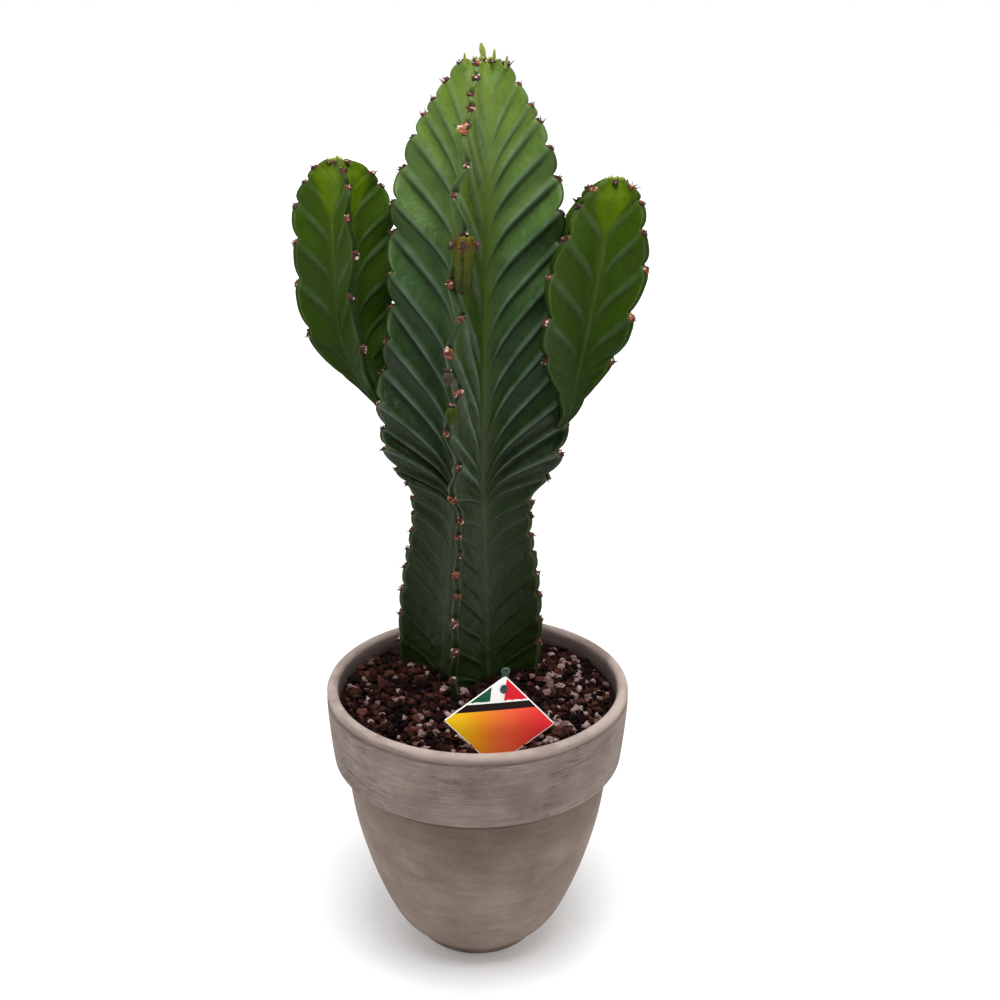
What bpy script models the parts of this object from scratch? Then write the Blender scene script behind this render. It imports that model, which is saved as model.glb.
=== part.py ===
"""A potted euphorbia: a four-winged succulent stem with two side branches, in a clay pot topped with gravel.

Units are metres and +Z is up. The origin is at the centre of the pot's underside and -Y is the front.
"""

import math

import bmesh
import bpy
from mathutils import Matrix, Vector

OBJECT_NAME = "potted_euphorbia"
GAP = 0.0003  # clearance between pieces that touch

# Pot: a turned clay vessel with a thick rim band
POT_HEIGHT = 0.209
RIM_RADIUS = 0.110
RIM_BOTTOM = 0.1516  # lower edge of the rim band
RIM_WALL = 0.008
LIP_ROUNDING = 0.004
POT_FLOOR = 0.010  # thickness of the pot's floor
POT_STEPS = 40
POT_OUTSIDE = [(0.0, 0.0435), (0.004, 0.0468), (0.020, 0.0625), (0.038, 0.0715), (0.076, 0.0847),
               (0.114, 0.0935), (RIM_BOTTOM, 0.0979)]
POT_INSIDE = [(POT_FLOOR, 0.040), (0.020, 0.052), (0.038, 0.064), (0.076, 0.077), (0.114, 0.086),
              (0.150, 0.091), (0.160, 0.0985), (0.205, RIM_RADIUS - RIM_WALL)]
DRAIN_HOLES = 3
DRAIN_RADIUS = 0.0055
DRAIN_CIRCLE = 0.022  # distance of the drain holes from the pot's axis

# Soil and the layer of lava gravel on top of it
SOIL_TOP = 0.180
GRAVEL_EDGE = 0.1955  # gravel level at the pot's wall
GRAVEL_CROWN = 0.2020  # gravel level round the stem

# Main stem: heights and sizes along its axis
STEM_WINGS = [-99.0, -4.0, 83.0, 173.0]  # directions of the front, right, back and left wings
STEM_AXIS = [(0.118, -0.0085, 0.030), (0.200, -0.0075, 0.030), (0.350, -0.005, 0.029),
             (0.500, -0.003, 0.028), (0.641, 0.0018, 0.027)]
STEM_RADIUS = [(0.118, 0.006), (0.150, 0.030), (0.180, 0.046), (0.200, 0.0545), (0.240, 0.054),
               (0.280, 0.0505), (0.325, 0.0435), (0.343, 0.0445), (0.360, 0.060), (0.385, 0.066),
               (0.412, 0.069), (0.467, 0.060), (0.540, 0.057), (0.579, 0.047), (0.608, 0.0325),
               (0.630, 0.019), (0.641, 0.008)]
STEM_GROOVE = [(0.118, 0.004), (0.180, 0.024), (0.200, 0.026), (0.300, 0.018), (0.360, 0.013),
               (0.560, 0.0115), (0.620, 0.010), (0.641, 0.006)]
STEM_TEETH = [(0.118, 0.026), (0.200, 0.021), (0.260, 0.019), (0.330, 0.0115), (0.365, 0.018),
              (0.400, 0.0215), (0.560, 0.0215), (0.610, 0.010), (0.641, 0.008)]
STEM_TOOTH_DEPTH = [(0.190, 0.0), (0.210, 0.002), (0.350, 0.002), (0.380, 0.0045), (0.600, 0.004),
                    (0.641, 0.0005)]
STEM_SWAY = [(0.345, 0.001), (0.380, 0.007), (0.560, 0.007), (0.620, 0.001)]
STEM_EDGE = 0.0035  # half the thickness of a wing at its margin

# Side branches, each a thinner winged stem that starts at a margin of the main stem
BRANCH_EDGE = 0.0028
LEFT_WINGS = [-70.0, 20.0, 110.0, 200.0]
LEFT_AXIS = [(0.404, -0.068, 0.037), (0.416, -0.077, 0.041), (0.440, -0.0885, 0.046),
             (0.470, -0.0950, 0.048), (0.572, -0.0960, 0.048)]
LEFT_RADIUS = [(0.404, 0.004), (0.416, 0.007), (0.430, 0.018), (0.455, 0.030), (0.480, 0.0345),
               (0.535, 0.0355), (0.552, 0.030), (0.563, 0.021), (0.572, 0.009)]
LEFT_GROOVE = [(0.404, 0.003), (0.425, 0.008), (0.450, 0.010), (0.558, 0.010), (0.572, 0.006)]
RIGHT_WINGS = [-42.0, 48.0, 138.0, 228.0]
RIGHT_AXIS = [(0.396, 0.056, 0.019), (0.408, 0.0645, 0.018), (0.435, 0.0700, 0.019),
              (0.487, 0.0765, 0.021), (0.563, 0.0890, 0.021)]
RIGHT_RADIUS = [(0.396, 0.004), (0.408, 0.006), (0.422, 0.016), (0.445, 0.036), (0.470, 0.0425),
                (0.505, 0.043), (0.530, 0.038), (0.547, 0.029), (0.556, 0.020), (0.563, 0.009)]
RIGHT_GROOVE = [(0.396, 0.003), (0.415, 0.007), (0.440, 0.010), (0.550, 0.010), (0.563, 0.006)]
BRANCH_TEETH = [(0.396, 0.024), (0.540, 0.022), (0.572, 0.010)]
BRANCH_TOOTH_DEPTH = [(0.420, 0.0), (0.440, 0.0035), (0.550, 0.003), (0.572, 0.0005)]
NO_SWAY = [(0.0, 0.0)]

# Plant label: a square card that stands on one corner, pegged to a stake
CARD_SIDE = 0.0528
CARD_THICKNESS = 0.0006
CARD_CORNER = 0.003
CARD_CENTRE = Vector((0.0161, -0.0816, 0.2189))
CARD_TURN, CARD_LEAN, CARD_ROLL = (math.radians(angle) for angle in (6.2, 6.7, 5.4))
STAKE_WIDTH = 0.005
STAKE_THICKNESS = 0.0014
STAKE_TOP = 0.0455  # height above the card's centre, along the card's upright diagonal
STAKE_BOTTOM = -0.105
PEG_HEIGHT = 0.0275  # height of the peg above the card's centre
PEG_RADIUS = 0.0018
KNOB_SIZE = (0.0026, 0.0010, 0.0034)  # half the oval knob's width, depth and height

# A wing's flank runs hollow from the groove at its foot to its margin, and bends at these shares of the way
FLANK_SPOTS = (0.35, 0.70, 0.94)
FLANK_POWER = 2.2  # how hollow the flank is
SWAY_POWER = 2.5  # how late along the wing its sideways sway sets in


def clear_scene():
    for old in list(bpy.data.objects):
        bpy.data.objects.remove(old, do_unlink=True)


def new_collection(name):
    collection = bpy.data.collections.new(name)
    bpy.context.scene.collection.children.link(collection)
    return collection


def new_material(name, colour, roughness):
    material = bpy.data.materials.new(name)
    material.use_nodes = True
    shader = material.node_tree.nodes["Principled BSDF"]
    shader.inputs["Base Color"].default_value = (*colour, 1.0)
    shader.inputs["Roughness"].default_value = roughness
    shader.inputs["Metallic"].default_value = 0.0
    return material


def new_object(name, mesh, material, collection):
    """A piece of the plant, or with no material a cutter."""
    obj = bpy.data.objects.new(name, mesh)
    collection.objects.link(obj)
    if material:
        mesh.materials.append(material)
        mesh.shade_smooth()
        mesh.set_sharp_from_angle(angle=math.radians(50))
    else:
        obj.hide_render = True
        obj.display_type = "WIRE"
    return obj


def mesh_from(bm, name):
    bmesh.ops.recalc_face_normals(bm, faces=bm.faces)
    mesh = bpy.data.meshes.new(name)
    bm.to_mesh(mesh)
    bm.free()
    return mesh


def add_boolean(obj, other, operation="DIFFERENCE"):
    modifier = obj.modifiers.new(f"{operation.lower()} {other.name}", "BOOLEAN")
    modifier.operation = operation
    modifier.object = other


def along(stations, height):
    """A value at this height, on the straight line between the stations on either side of it."""
    if height <= stations[0][0]:
        return stations[0][1]
    for (low, first), (high, second) in zip(stations, stations[1:]):
        if height <= high:
            return first + (second - first) * (height - low) / (high - low)
    return stations[-1][1]


def axis_point(axis, height):
    x = along([(z, x) for z, x, y in axis], height)
    y = along([(z, y) for z, x, y in axis], height)
    return Vector((x, y, height))


def arc(centre, radius, start, end, count):
    """Points on an arc in the XZ plane, with angles in degrees from +X towards +Z."""
    points = []
    for step in range(count + 1):
        angle = math.radians(start + (end - start) * step / count)
        points.append((centre[0] + radius * math.cos(angle), centre[1] + radius * math.sin(angle)))
    return points


# Turned pieces


def turned(name, profile, material, collection):
    """Turns a profile of (radius, height) points, which runs down its outer side, about the Z axis."""
    mesh = bpy.data.meshes.new(name)
    edges = [(i, i + 1) for i in range(len(profile) - 1)]
    mesh.from_pydata([(radius, 0.0, height) for radius, height in profile], edges, [])
    obj = new_object(name, mesh, material, collection)
    screw = obj.modifiers.new("turn", "SCREW")
    screw.steps = POT_STEPS
    screw.render_steps = POT_STEPS
    screw.use_merge_vertices = True
    screw.merge_threshold = 0.00001
    screw.use_smooth_shade = True
    return obj


def make_pot(material, parts, cutters):
    inside = [(radius, height) for height, radius in POT_INSIDE]
    lip = arc((RIM_RADIUS - LIP_ROUNDING, POT_HEIGHT - LIP_ROUNDING), LIP_ROUNDING, 180, 0, 6)
    band_foot = arc((RIM_RADIUS - 0.0075, RIM_BOTTOM + 0.004), 0.004, 0, -90, 3)
    outside = [(radius, height) for height, radius in reversed(POT_OUTSIDE)]
    profile = [(0.0, POT_FLOOR)] + inside + lip + band_foot + outside + [(0.0, 0.0)]
    pot = turned("pot", profile, material, parts)
    for hole in range(DRAIN_HOLES):
        angle = 2 * math.pi * hole / DRAIN_HOLES
        bm = bmesh.new()
        bmesh.ops.create_cone(bm, cap_ends=True, segments=16, radius1=DRAIN_RADIUS, radius2=DRAIN_RADIUS,
                              depth=3 * POT_FLOOR)
        cutter = new_object(f"drain_cutter_{hole + 1}", mesh_from(bm, "drain"), None, cutters)
        cutter.location = (DRAIN_CIRCLE * math.cos(angle), DRAIN_CIRCLE * math.sin(angle), POT_FLOOR / 2)
        add_boolean(pot, cutter)


def wall_inside(height):
    """Radius that fills the pot at this height, with the gap to its wall."""
    return along(POT_INSIDE, height) - GAP * 1.5


def make_filling(soil_material, gravel_material, parts):
    """The soil, and the gravel that lies on it."""
    levels = [height for height, radius in POT_INSIDE if POT_FLOOR < height < SOIL_TOP]
    wall = [(wall_inside(height), height) for height in [SOIL_TOP] + levels[::-1]]
    floor = POT_FLOOR + GAP
    profile = [(0.0, SOIL_TOP)] + wall + [(wall_inside(floor), floor), (0.0, floor)]
    soil = turned("potting_soil", profile, soil_material, parts)
    low = SOIL_TOP + GAP
    mound = [(0.0, GRAVEL_CROWN), (0.062, GRAVEL_CROWN), (0.088, GRAVEL_EDGE + 0.001)]
    edge = [(wall_inside(GRAVEL_EDGE), GRAVEL_EDGE), (wall_inside(low), low), (0.0, low)]
    gravel = turned("lava_gravel", mound + edge, gravel_material, parts)
    return soil, gravel


# Winged stems


def flank(half_sector, radius, groove, edge):
    """Spots on one side of a wing, from its groove to its margin: (distance out, distance across)."""
    start, side = groove * math.cos(half_sector), groove * math.sin(half_sector)
    spots = [(start, side)]
    for share in FLANK_SPOTS:
        spots.append((start + (radius - start) * share, edge + (side - edge) * (1 - share) ** FLANK_POWER))
    return spots


def wing_points(angle, before, after, radius, groove, edge, sway):
    """One wing of a section, from the groove before it up to the next one: offsets from the stem's axis."""
    spots = [(out, -across) for out, across in flank(before, radius, groove, edge)]
    spots += [(radius, 0.0)] + flank(after, radius, groove, edge)[:0:-1]
    bend = [0.0] + [sway * (out / radius) ** SWAY_POWER for out, across in spots[1:]]
    turn = Matrix.Rotation(angle, 3, "Z")
    return [turn @ Vector((out, across + shift, 0.0)) for (out, across), shift in zip(spots, bend)]


def tooth_rows(axis, teeth):
    """Heights of the rows of a stem, two for each tooth, from its foot to its tip."""
    height, rows = axis[0][0], []
    while height < axis[-1][0] - 0.003:
        rows.append(height)
        height += along(teeth, height) / 2
    return rows + [axis[-1][0]]


def make_stem(name, wings, axis, sizes, edge, material, collection, grow=0.0):
    """A winged stem. Neighbouring wings carry their teeth half a tooth apart. Grow swells it all round."""
    radii, grooves, teeth, depths, sways = sizes
    bm = bmesh.new()
    rings = []
    for row, height in enumerate(tooth_rows(axis, teeth)):
        centre = axis_point(axis, height)
        ring = []
        for wing, angle in enumerate(wings):
            notch = (row + wing) % 2
            turn = 1 if (row + wing) // 2 % 2 else -1
            radius = along(radii, height) - notch * along(depths, height)
            sway = notch * turn * along(sways, height) if wing % 2 == 0 else 0.0
            groove = min(along(grooves, height), 0.8 * radius)
            thickness = min(edge, 0.35 * radius)
            before = math.radians((angle - wings[wing - 1]) % 360) / 2
            after = math.radians((wings[(wing + 1) % len(wings)] - angle) % 360) / 2
            points = wing_points(math.radians(angle), before, after, radius + grow, groove + 1.4 * grow,
                                 thickness + grow, sway)
            ring += [bm.verts.new(centre + point) for point in points]
        rings.append(ring)
    for lower, upper in zip(rings, rings[1:]):
        for i, vertex in enumerate(lower):
            j = (i + 1) % len(lower)
            bm.faces.new((vertex, lower[j], upper[j], upper[i]))
    for ring, end, reach in ((rings[0], axis[0], -1), (rings[-1], axis[-1], 1)):
        tip = bm.verts.new(Vector((end[1], end[2], end[0] + reach * (0.002 + grow))))
        for i, vertex in enumerate(ring):
            bm.faces.new((vertex, ring[(i + 1) % len(ring)], tip))
    bmesh.ops.triangulate(bm, faces=bm.faces)
    return new_object(name, mesh_from(bm, name), material, collection)


def make_stems(material, parts, cutters):
    stem_sizes = (STEM_RADIUS, STEM_GROOVE, STEM_TEETH, STEM_TOOTH_DEPTH, STEM_SWAY)
    stem = make_stem("main_stem", STEM_WINGS, STEM_AXIS, stem_sizes, STEM_EDGE, material, parts)
    stem_cutter = make_stem("main_stem_cutter", STEM_WINGS, STEM_AXIS, stem_sizes, STEM_EDGE, None, cutters,
                            grow=1.5 * GAP)
    left_sizes = (LEFT_RADIUS, LEFT_GROOVE, BRANCH_TEETH, BRANCH_TOOTH_DEPTH, NO_SWAY)
    right_sizes = (RIGHT_RADIUS, RIGHT_GROOVE, BRANCH_TEETH, BRANCH_TOOTH_DEPTH, NO_SWAY)
    left = make_stem("left_branch", LEFT_WINGS, LEFT_AXIS, left_sizes, BRANCH_EDGE, material, parts)
    right = make_stem("right_branch", RIGHT_WINGS, RIGHT_AXIS, right_sizes, BRANCH_EDGE, material, parts)
    add_boolean(left, stem_cutter)
    add_boolean(right, stem_cutter)
    return stem, stem_cutter


# Small growths on the main stem


def make_growth(name, foot, tip, half_width, half_depth, material, parts, stem_cutter):
    """A bud, shoot or leaf: an egg-shaped piece from foot to tip that seats against the stem."""
    foot, tip = Vector(foot), Vector(tip)
    bm = bmesh.new()
    bmesh.ops.create_uvsphere(bm, u_segments=12, v_segments=8, radius=1.0)
    size = Matrix.Diagonal((half_width, half_depth, (tip - foot).length / 2, 1.0))
    bmesh.ops.transform(bm, matrix=size, verts=bm.verts)
    growth = new_object(name, mesh_from(bm, name), material, parts)
    growth.location = (foot + tip) / 2
    growth.rotation_euler = (tip - foot).to_track_quat("Z", "Y").to_euler()
    add_boolean(growth, stem_cutter)


def make_growths(stem_material, leaf_material, dry_material, parts, stem_cutter):
    make_growth("side_shoot_upper", (-0.0090, -0.0290, 0.503), (-0.0070, -0.0400, 0.532), 0.0075, 0.0070,
                stem_material, parts, stem_cutter)
    make_growth("side_shoot_lower", (-0.0170, -0.0360, 0.413), (-0.0160, -0.0460, 0.427), 0.0036, 0.0036,
                stem_material, parts, stem_cutter)
    make_growth("dried_bud", (-0.0180, -0.0340, 0.438), (-0.0195, -0.0440, 0.449), 0.0033, 0.0033,
                dry_material, parts, stem_cutter)
    leaves = [((0.0015, 0.0235, 0.6385), (0.0020, 0.0200, 0.6465), 0.0022),
              ((0.0080, 0.0230, 0.6330), (0.0105, 0.0210, 0.6430), 0.0011),
              ((0.0150, 0.0220, 0.6270), (0.0190, 0.0200, 0.6390), 0.0011),
              ((-0.0080, 0.0240, 0.6330), (-0.0105, 0.0230, 0.6405), 0.0011)]
    for number, (foot, tip, half_width) in enumerate(leaves, start=1):
        make_growth(f"tip_leaf_{number}", foot, tip, half_width, 0.0007, leaf_material, parts, stem_cutter)


# Plant label


def card_place():
    """Matrix that places the label: X across the card, Y into it and Z up its diagonal."""
    lean = Matrix.Rotation(CARD_ROLL, 4, "Y") @ Matrix.Rotation(CARD_LEAN, 4, "X")
    return Matrix.Translation(CARD_CENTRE) @ lean @ Matrix.Rotation(CARD_TURN, 4, "Z")


def make_plate(name, side, thickness, material, collection):
    """A thin square plate with rounded corners, which stands on one corner."""
    bm = bmesh.new()
    upright = Matrix.Rotation(math.radians(90), 4, "X") @ Matrix.Rotation(math.radians(45), 4, "Z")
    bmesh.ops.create_grid(bm, x_segments=1, y_segments=1, size=side / 2, matrix=upright)
    plate = new_object(name, mesh_from(bm, name), material, collection)
    corners = plate.modifiers.new("round corners", "BEVEL")
    corners.affect = "VERTICES"
    corners.width = CARD_CORNER
    corners.segments = 4
    solid = plate.modifiers.new("thickness", "SOLIDIFY")
    solid.thickness = thickness
    solid.offset = 0.0
    plate.matrix_world = card_place()
    return plate


def make_box(name, size, centre, material, collection):
    bm = bmesh.new()
    bmesh.ops.create_cube(bm, size=1.0, matrix=Matrix.Translation(centre) @ Matrix.Diagonal((*size, 1.0)))
    box = new_object(name, mesh_from(bm, name), material, collection)
    box.matrix_world = card_place()
    return box


def make_label(card_material, stake_material, parts, cutters):
    """The card and its stake, whose peg passes through the card and ends in an oval knob."""
    card = make_plate("label_card", CARD_SIDE, CARD_THICKNESS, card_material, parts)
    back = CARD_THICKNESS / 2 + GAP + STAKE_THICKNESS / 2
    length = STAKE_TOP - STAKE_BOTTOM
    middle = Vector((0.0, back, (STAKE_TOP + STAKE_BOTTOM) / 2))
    stake = make_box("label_stake", (STAKE_WIDTH, STAKE_THICKNESS, length), middle, stake_material, parts)
    bm = bmesh.new()
    lying = Matrix.Translation((0.0, 0.0, PEG_HEIGHT)) @ Matrix.Rotation(math.radians(90), 4, "X")
    bmesh.ops.create_cone(bm, cap_ends=True, segments=16, radius1=PEG_RADIUS, radius2=PEG_RADIUS,
                          depth=2 * back, matrix=lying)
    peg = new_object("peg_shape", mesh_from(bm, "peg"), None, cutters)
    bm = bmesh.new()
    front = Matrix.Translation((0.0, -CARD_THICKNESS / 2 - GAP - KNOB_SIZE[1], PEG_HEIGHT))
    bmesh.ops.create_uvsphere(bm, u_segments=16, v_segments=8, radius=1.0,
                              matrix=front @ Matrix.Diagonal((*KNOB_SIZE, 1.0)))
    knob = new_object("knob_shape", mesh_from(bm, "knob"), None, cutters)
    bm = bmesh.new()
    bmesh.ops.create_cone(bm, cap_ends=True, segments=16, radius1=PEG_RADIUS + 2 * GAP,
                          radius2=PEG_RADIUS + 2 * GAP, depth=6 * CARD_THICKNESS, matrix=lying)
    hole = new_object("card_hole_cutter", mesh_from(bm, "hole"), None, cutters)
    for helper in (peg, knob, hole):
        helper.matrix_world = card_place()
    add_boolean(card, hole)
    add_boolean(stake, peg, "UNION")
    add_boolean(stake, knob, "UNION")
    card_slot = make_plate("card_slot_cutter", CARD_SIDE + 2 * GAP, CARD_THICKNESS + 2 * GAP, None, cutters)
    slot_size = (STAKE_WIDTH + 2 * GAP, STAKE_THICKNESS + 2 * GAP, length + 2 * GAP)
    stake_slot = make_box("stake_slot_cutter", slot_size, middle, None, cutters)
    return card_slot, stake_slot


def build():
    clear_scene()
    parts = new_collection(OBJECT_NAME)
    cutters = new_collection("cutters")
    cutters.hide_render = True
    clay = new_material("grey_clay", (0.24, 0.21, 0.18), 0.85)
    soil_brown = new_material("potting_soil", (0.045, 0.030, 0.020), 0.95)
    lava = new_material("lava_gravel", (0.060, 0.035, 0.030), 0.90)
    green = new_material("stem_green", (0.13, 0.22, 0.08), 0.50)
    leaf_green = new_material("leaf_green", (0.30, 0.42, 0.06), 0.45)
    dry_brown = new_material("dried_bud", (0.16, 0.11, 0.07), 0.90)
    card_plastic = new_material("label_card", (0.55, 0.16, 0.06), 0.40)
    stake_plastic = new_material("label_stake", (0.03, 0.10, 0.05), 0.40)
    make_pot(clay, parts, cutters)
    soil, gravel = make_filling(soil_brown, lava, parts)
    stem, stem_cutter = make_stems(green, parts, cutters)
    make_growths(green, leaf_green, dry_brown, parts, stem_cutter)
    card_slot, stake_slot = make_label(card_plastic, stake_plastic, parts, cutters)
    add_boolean(soil, stem_cutter)
    add_boolean(soil, stake_slot)
    for cutter in (stem_cutter, stake_slot, card_slot):
        add_boolean(gravel, cutter)


build()
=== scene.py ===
"""Looks of the potted euphorbia: winged stems with spines, loose lava chips, a streaked clay pot and a plant
label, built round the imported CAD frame. Units are metres, +Z is up and -Y is the front."""

import math
import random

import bmesh
import bpy
import numpy as np
from mathutils import Matrix, Vector, noise


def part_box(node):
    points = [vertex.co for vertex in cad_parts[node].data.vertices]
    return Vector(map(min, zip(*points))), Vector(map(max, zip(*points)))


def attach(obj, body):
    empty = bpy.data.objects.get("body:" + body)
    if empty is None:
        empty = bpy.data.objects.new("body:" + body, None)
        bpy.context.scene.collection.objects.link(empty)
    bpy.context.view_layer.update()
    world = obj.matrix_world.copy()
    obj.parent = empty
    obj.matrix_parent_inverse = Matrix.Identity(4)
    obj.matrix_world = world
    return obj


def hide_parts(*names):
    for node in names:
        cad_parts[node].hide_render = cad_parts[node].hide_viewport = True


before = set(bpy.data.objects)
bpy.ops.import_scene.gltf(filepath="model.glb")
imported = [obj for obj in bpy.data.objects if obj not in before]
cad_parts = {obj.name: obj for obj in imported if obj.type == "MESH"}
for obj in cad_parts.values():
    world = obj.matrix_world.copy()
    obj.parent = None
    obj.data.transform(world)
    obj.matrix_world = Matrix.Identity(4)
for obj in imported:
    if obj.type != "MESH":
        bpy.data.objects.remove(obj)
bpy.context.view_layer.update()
BODY = "root"
SEED = 20
UP = Vector((0, 0, 1))

POT_LOW, POT_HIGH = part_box("pot")
GRAVEL_LOW, GRAVEL_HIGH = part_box("lava_gravel")

# The label card: its place, and where the printed band crosses it, up from its middle
CARD_PLACE = (Matrix.Translation((0.0161, -0.0816, 0.2189)) @ Matrix.Rotation(math.radians(5.4), 4, "Y")
              @ Matrix.Rotation(math.radians(6.7), 4, "X") @ Matrix.Rotation(math.radians(6.2), 4, "Z"))
CARD_SIDE = 0.0528
CARD_REACH = CARD_SIDE / math.sqrt(2)  # from its middle to a corner
CARD_THICKNESS = 0.0006
CARD_CORNER = 0.0014
CARD_BOW = 0.0009
CARD_BORDER = 0.0008
BAND_LOW, BAND_TOP = 0.0103, 0.0163
BAND_SLOPE = 0.14
WHITE_MIDDLE, WHITE_HALF = -0.0035, 0.0046

# The stake: its peg's height and hole, how far behind the card it is, and its blade's height, half width and
# half depth at each row
PEG_HEIGHT, PEG_HOLE = 0.0275, 0.0024
STAKE_DEPTH = 0.0014
STAKE_TOP = 0.0432
STAKE_ROWS = [(-0.105, 0.0006, 0.0004), (-0.097, 0.0022, 0.0007), (-0.086, 0.0025, 0.0007),
              (0.000, 0.0025, 0.0007), (0.034, 0.0025, 0.0007), (0.039, 0.0022, 0.0012)]
STAKE_SIDES = 24


# Numbers along a stem or a profile


def eased(stations, at):
    """A smooth curve through (position, value) stations that never overshoots them."""
    places, values = np.array(stations, float).T
    rise = np.diff(values) / np.diff(places)
    same_way = rise[:-1] * rise[1:] > 0
    total = np.where(same_way, rise[:-1] + rise[1:], 1.0)
    bends = np.where(same_way, 2 * rise[:-1] * rise[1:] / total, 0.0)
    slopes = np.concatenate([rise[:1], bends, rise[-1:]])
    at = np.clip(at, places[0], places[-1])
    low = np.clip(np.searchsorted(places, at) - 1, 0, len(places) - 2)
    span = places[low + 1] - places[low]
    t = (at - places[low]) / span
    start = (1 + 2 * t) * (1 - t) ** 2 * values[low] + t * (1 - t) ** 2 * span * slopes[low]
    end = t * t * (3 - 2 * t) * values[low + 1] + t * t * (t - 1) * span * slopes[low + 1]
    return start + end


def straight(stations, at):
    """Straight runs between (position, value) stations."""
    places, values = np.array(stations, float).T
    return np.interp(at, places, values)


def metres(rows):
    """Rows of millimetres as metres."""
    return [tuple(value / 1000 for value in row) for row in rows]


def around(count):
    """Angles evenly spaced round a circle."""
    return np.linspace(0, math.tau, count, endpoint=False)


def heading(turn):
    """The level direction at an angle."""
    return Vector((math.cos(turn), math.sin(turn), 0))


def corners(node):
    """The lowest and highest corners of a CAD node."""
    return (Vector(corner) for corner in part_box(node))


def smooth_step(low, high, value):
    t = np.clip((value - low) / (high - low), 0, 1)
    return t * t * (3 - 2 * t)


# Meshes and pieces


def make_mesh(name, vertices, faces, smooth=True):
    mesh = bpy.data.meshes.new(name)
    vertices = np.asarray(vertices, np.float32)
    faces = [np.asarray(group, np.int32) for group in faces if len(group)]
    mesh.vertices.add(len(vertices))
    mesh.vertices.foreach_set("co", vertices.ravel())
    corners = np.concatenate([group.ravel() for group in faces])
    totals = np.concatenate([np.full(len(group), group.shape[1]) for group in faces])
    mesh.loops.add(len(corners))
    mesh.loops.foreach_set("vertex_index", corners)
    mesh.polygons.add(len(totals))
    mesh.polygons.foreach_set("loop_start", np.concatenate([[0], np.cumsum(totals)[:-1]]))
    mesh.polygons.foreach_set("loop_total", totals)
    mesh.update(calc_edges=True)
    mesh.validate()
    if smooth:
        mesh.shade_smooth()
    return mesh


def store(mesh, name, values):
    """Keeps a number for each vertex, which a material can read."""
    attribute = mesh.attributes.new(name, "FLOAT", "POINT")
    attribute.data.foreach_set("value", np.asarray(values, np.float32).ravel())


def add_object(name, data):
    item = bpy.data.objects.new(name, data)
    bpy.context.scene.collection.objects.link(item)
    return item


def add_piece(name, mesh, material, slot, replaces=()):
    piece = add_object(name, mesh)
    mesh.materials.append(material)
    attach(piece, BODY)
    if replaces:
        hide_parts(*replaces)
    return piece


def grid_faces(rows, columns):
    """Quads between rings of points, ring by ring."""
    row, column = np.meshgrid(np.arange(rows - 1), np.arange(columns), indexing="ij")
    right = (column + 1) % columns
    low, high = row * columns, (row + 1) * columns
    return np.stack([low + column, low + right, high + right, high + column], -1).reshape(-1, 4)


def cap_faces(ring, tip):
    """Triangles that close a ring of points with one point beyond it."""
    return np.stack([ring, np.roll(ring, -1), np.full(len(ring), tip)], -1)


def tube_faces(rows, columns, inside_out=False):
    """Faces of rings of points, closed by two points after them: the first ring's end, then the last's."""
    ring, count = np.arange(columns), rows * columns
    caps = cap_faces(ring[::-1], count), cap_faces(ring + count - columns, count + 1)
    faces = [grid_faces(rows, columns), *caps]
    return [group[:, ::-1] for group in faces] if inside_out else faces


def tube_triangles(rows, columns):
    """The same faces as triangles only."""
    quads, *caps = tube_faces(rows, columns)
    return np.concatenate([quads[:, [0, 1, 2]], quads[:, [0, 2, 3]], *caps])


# Materials


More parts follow.
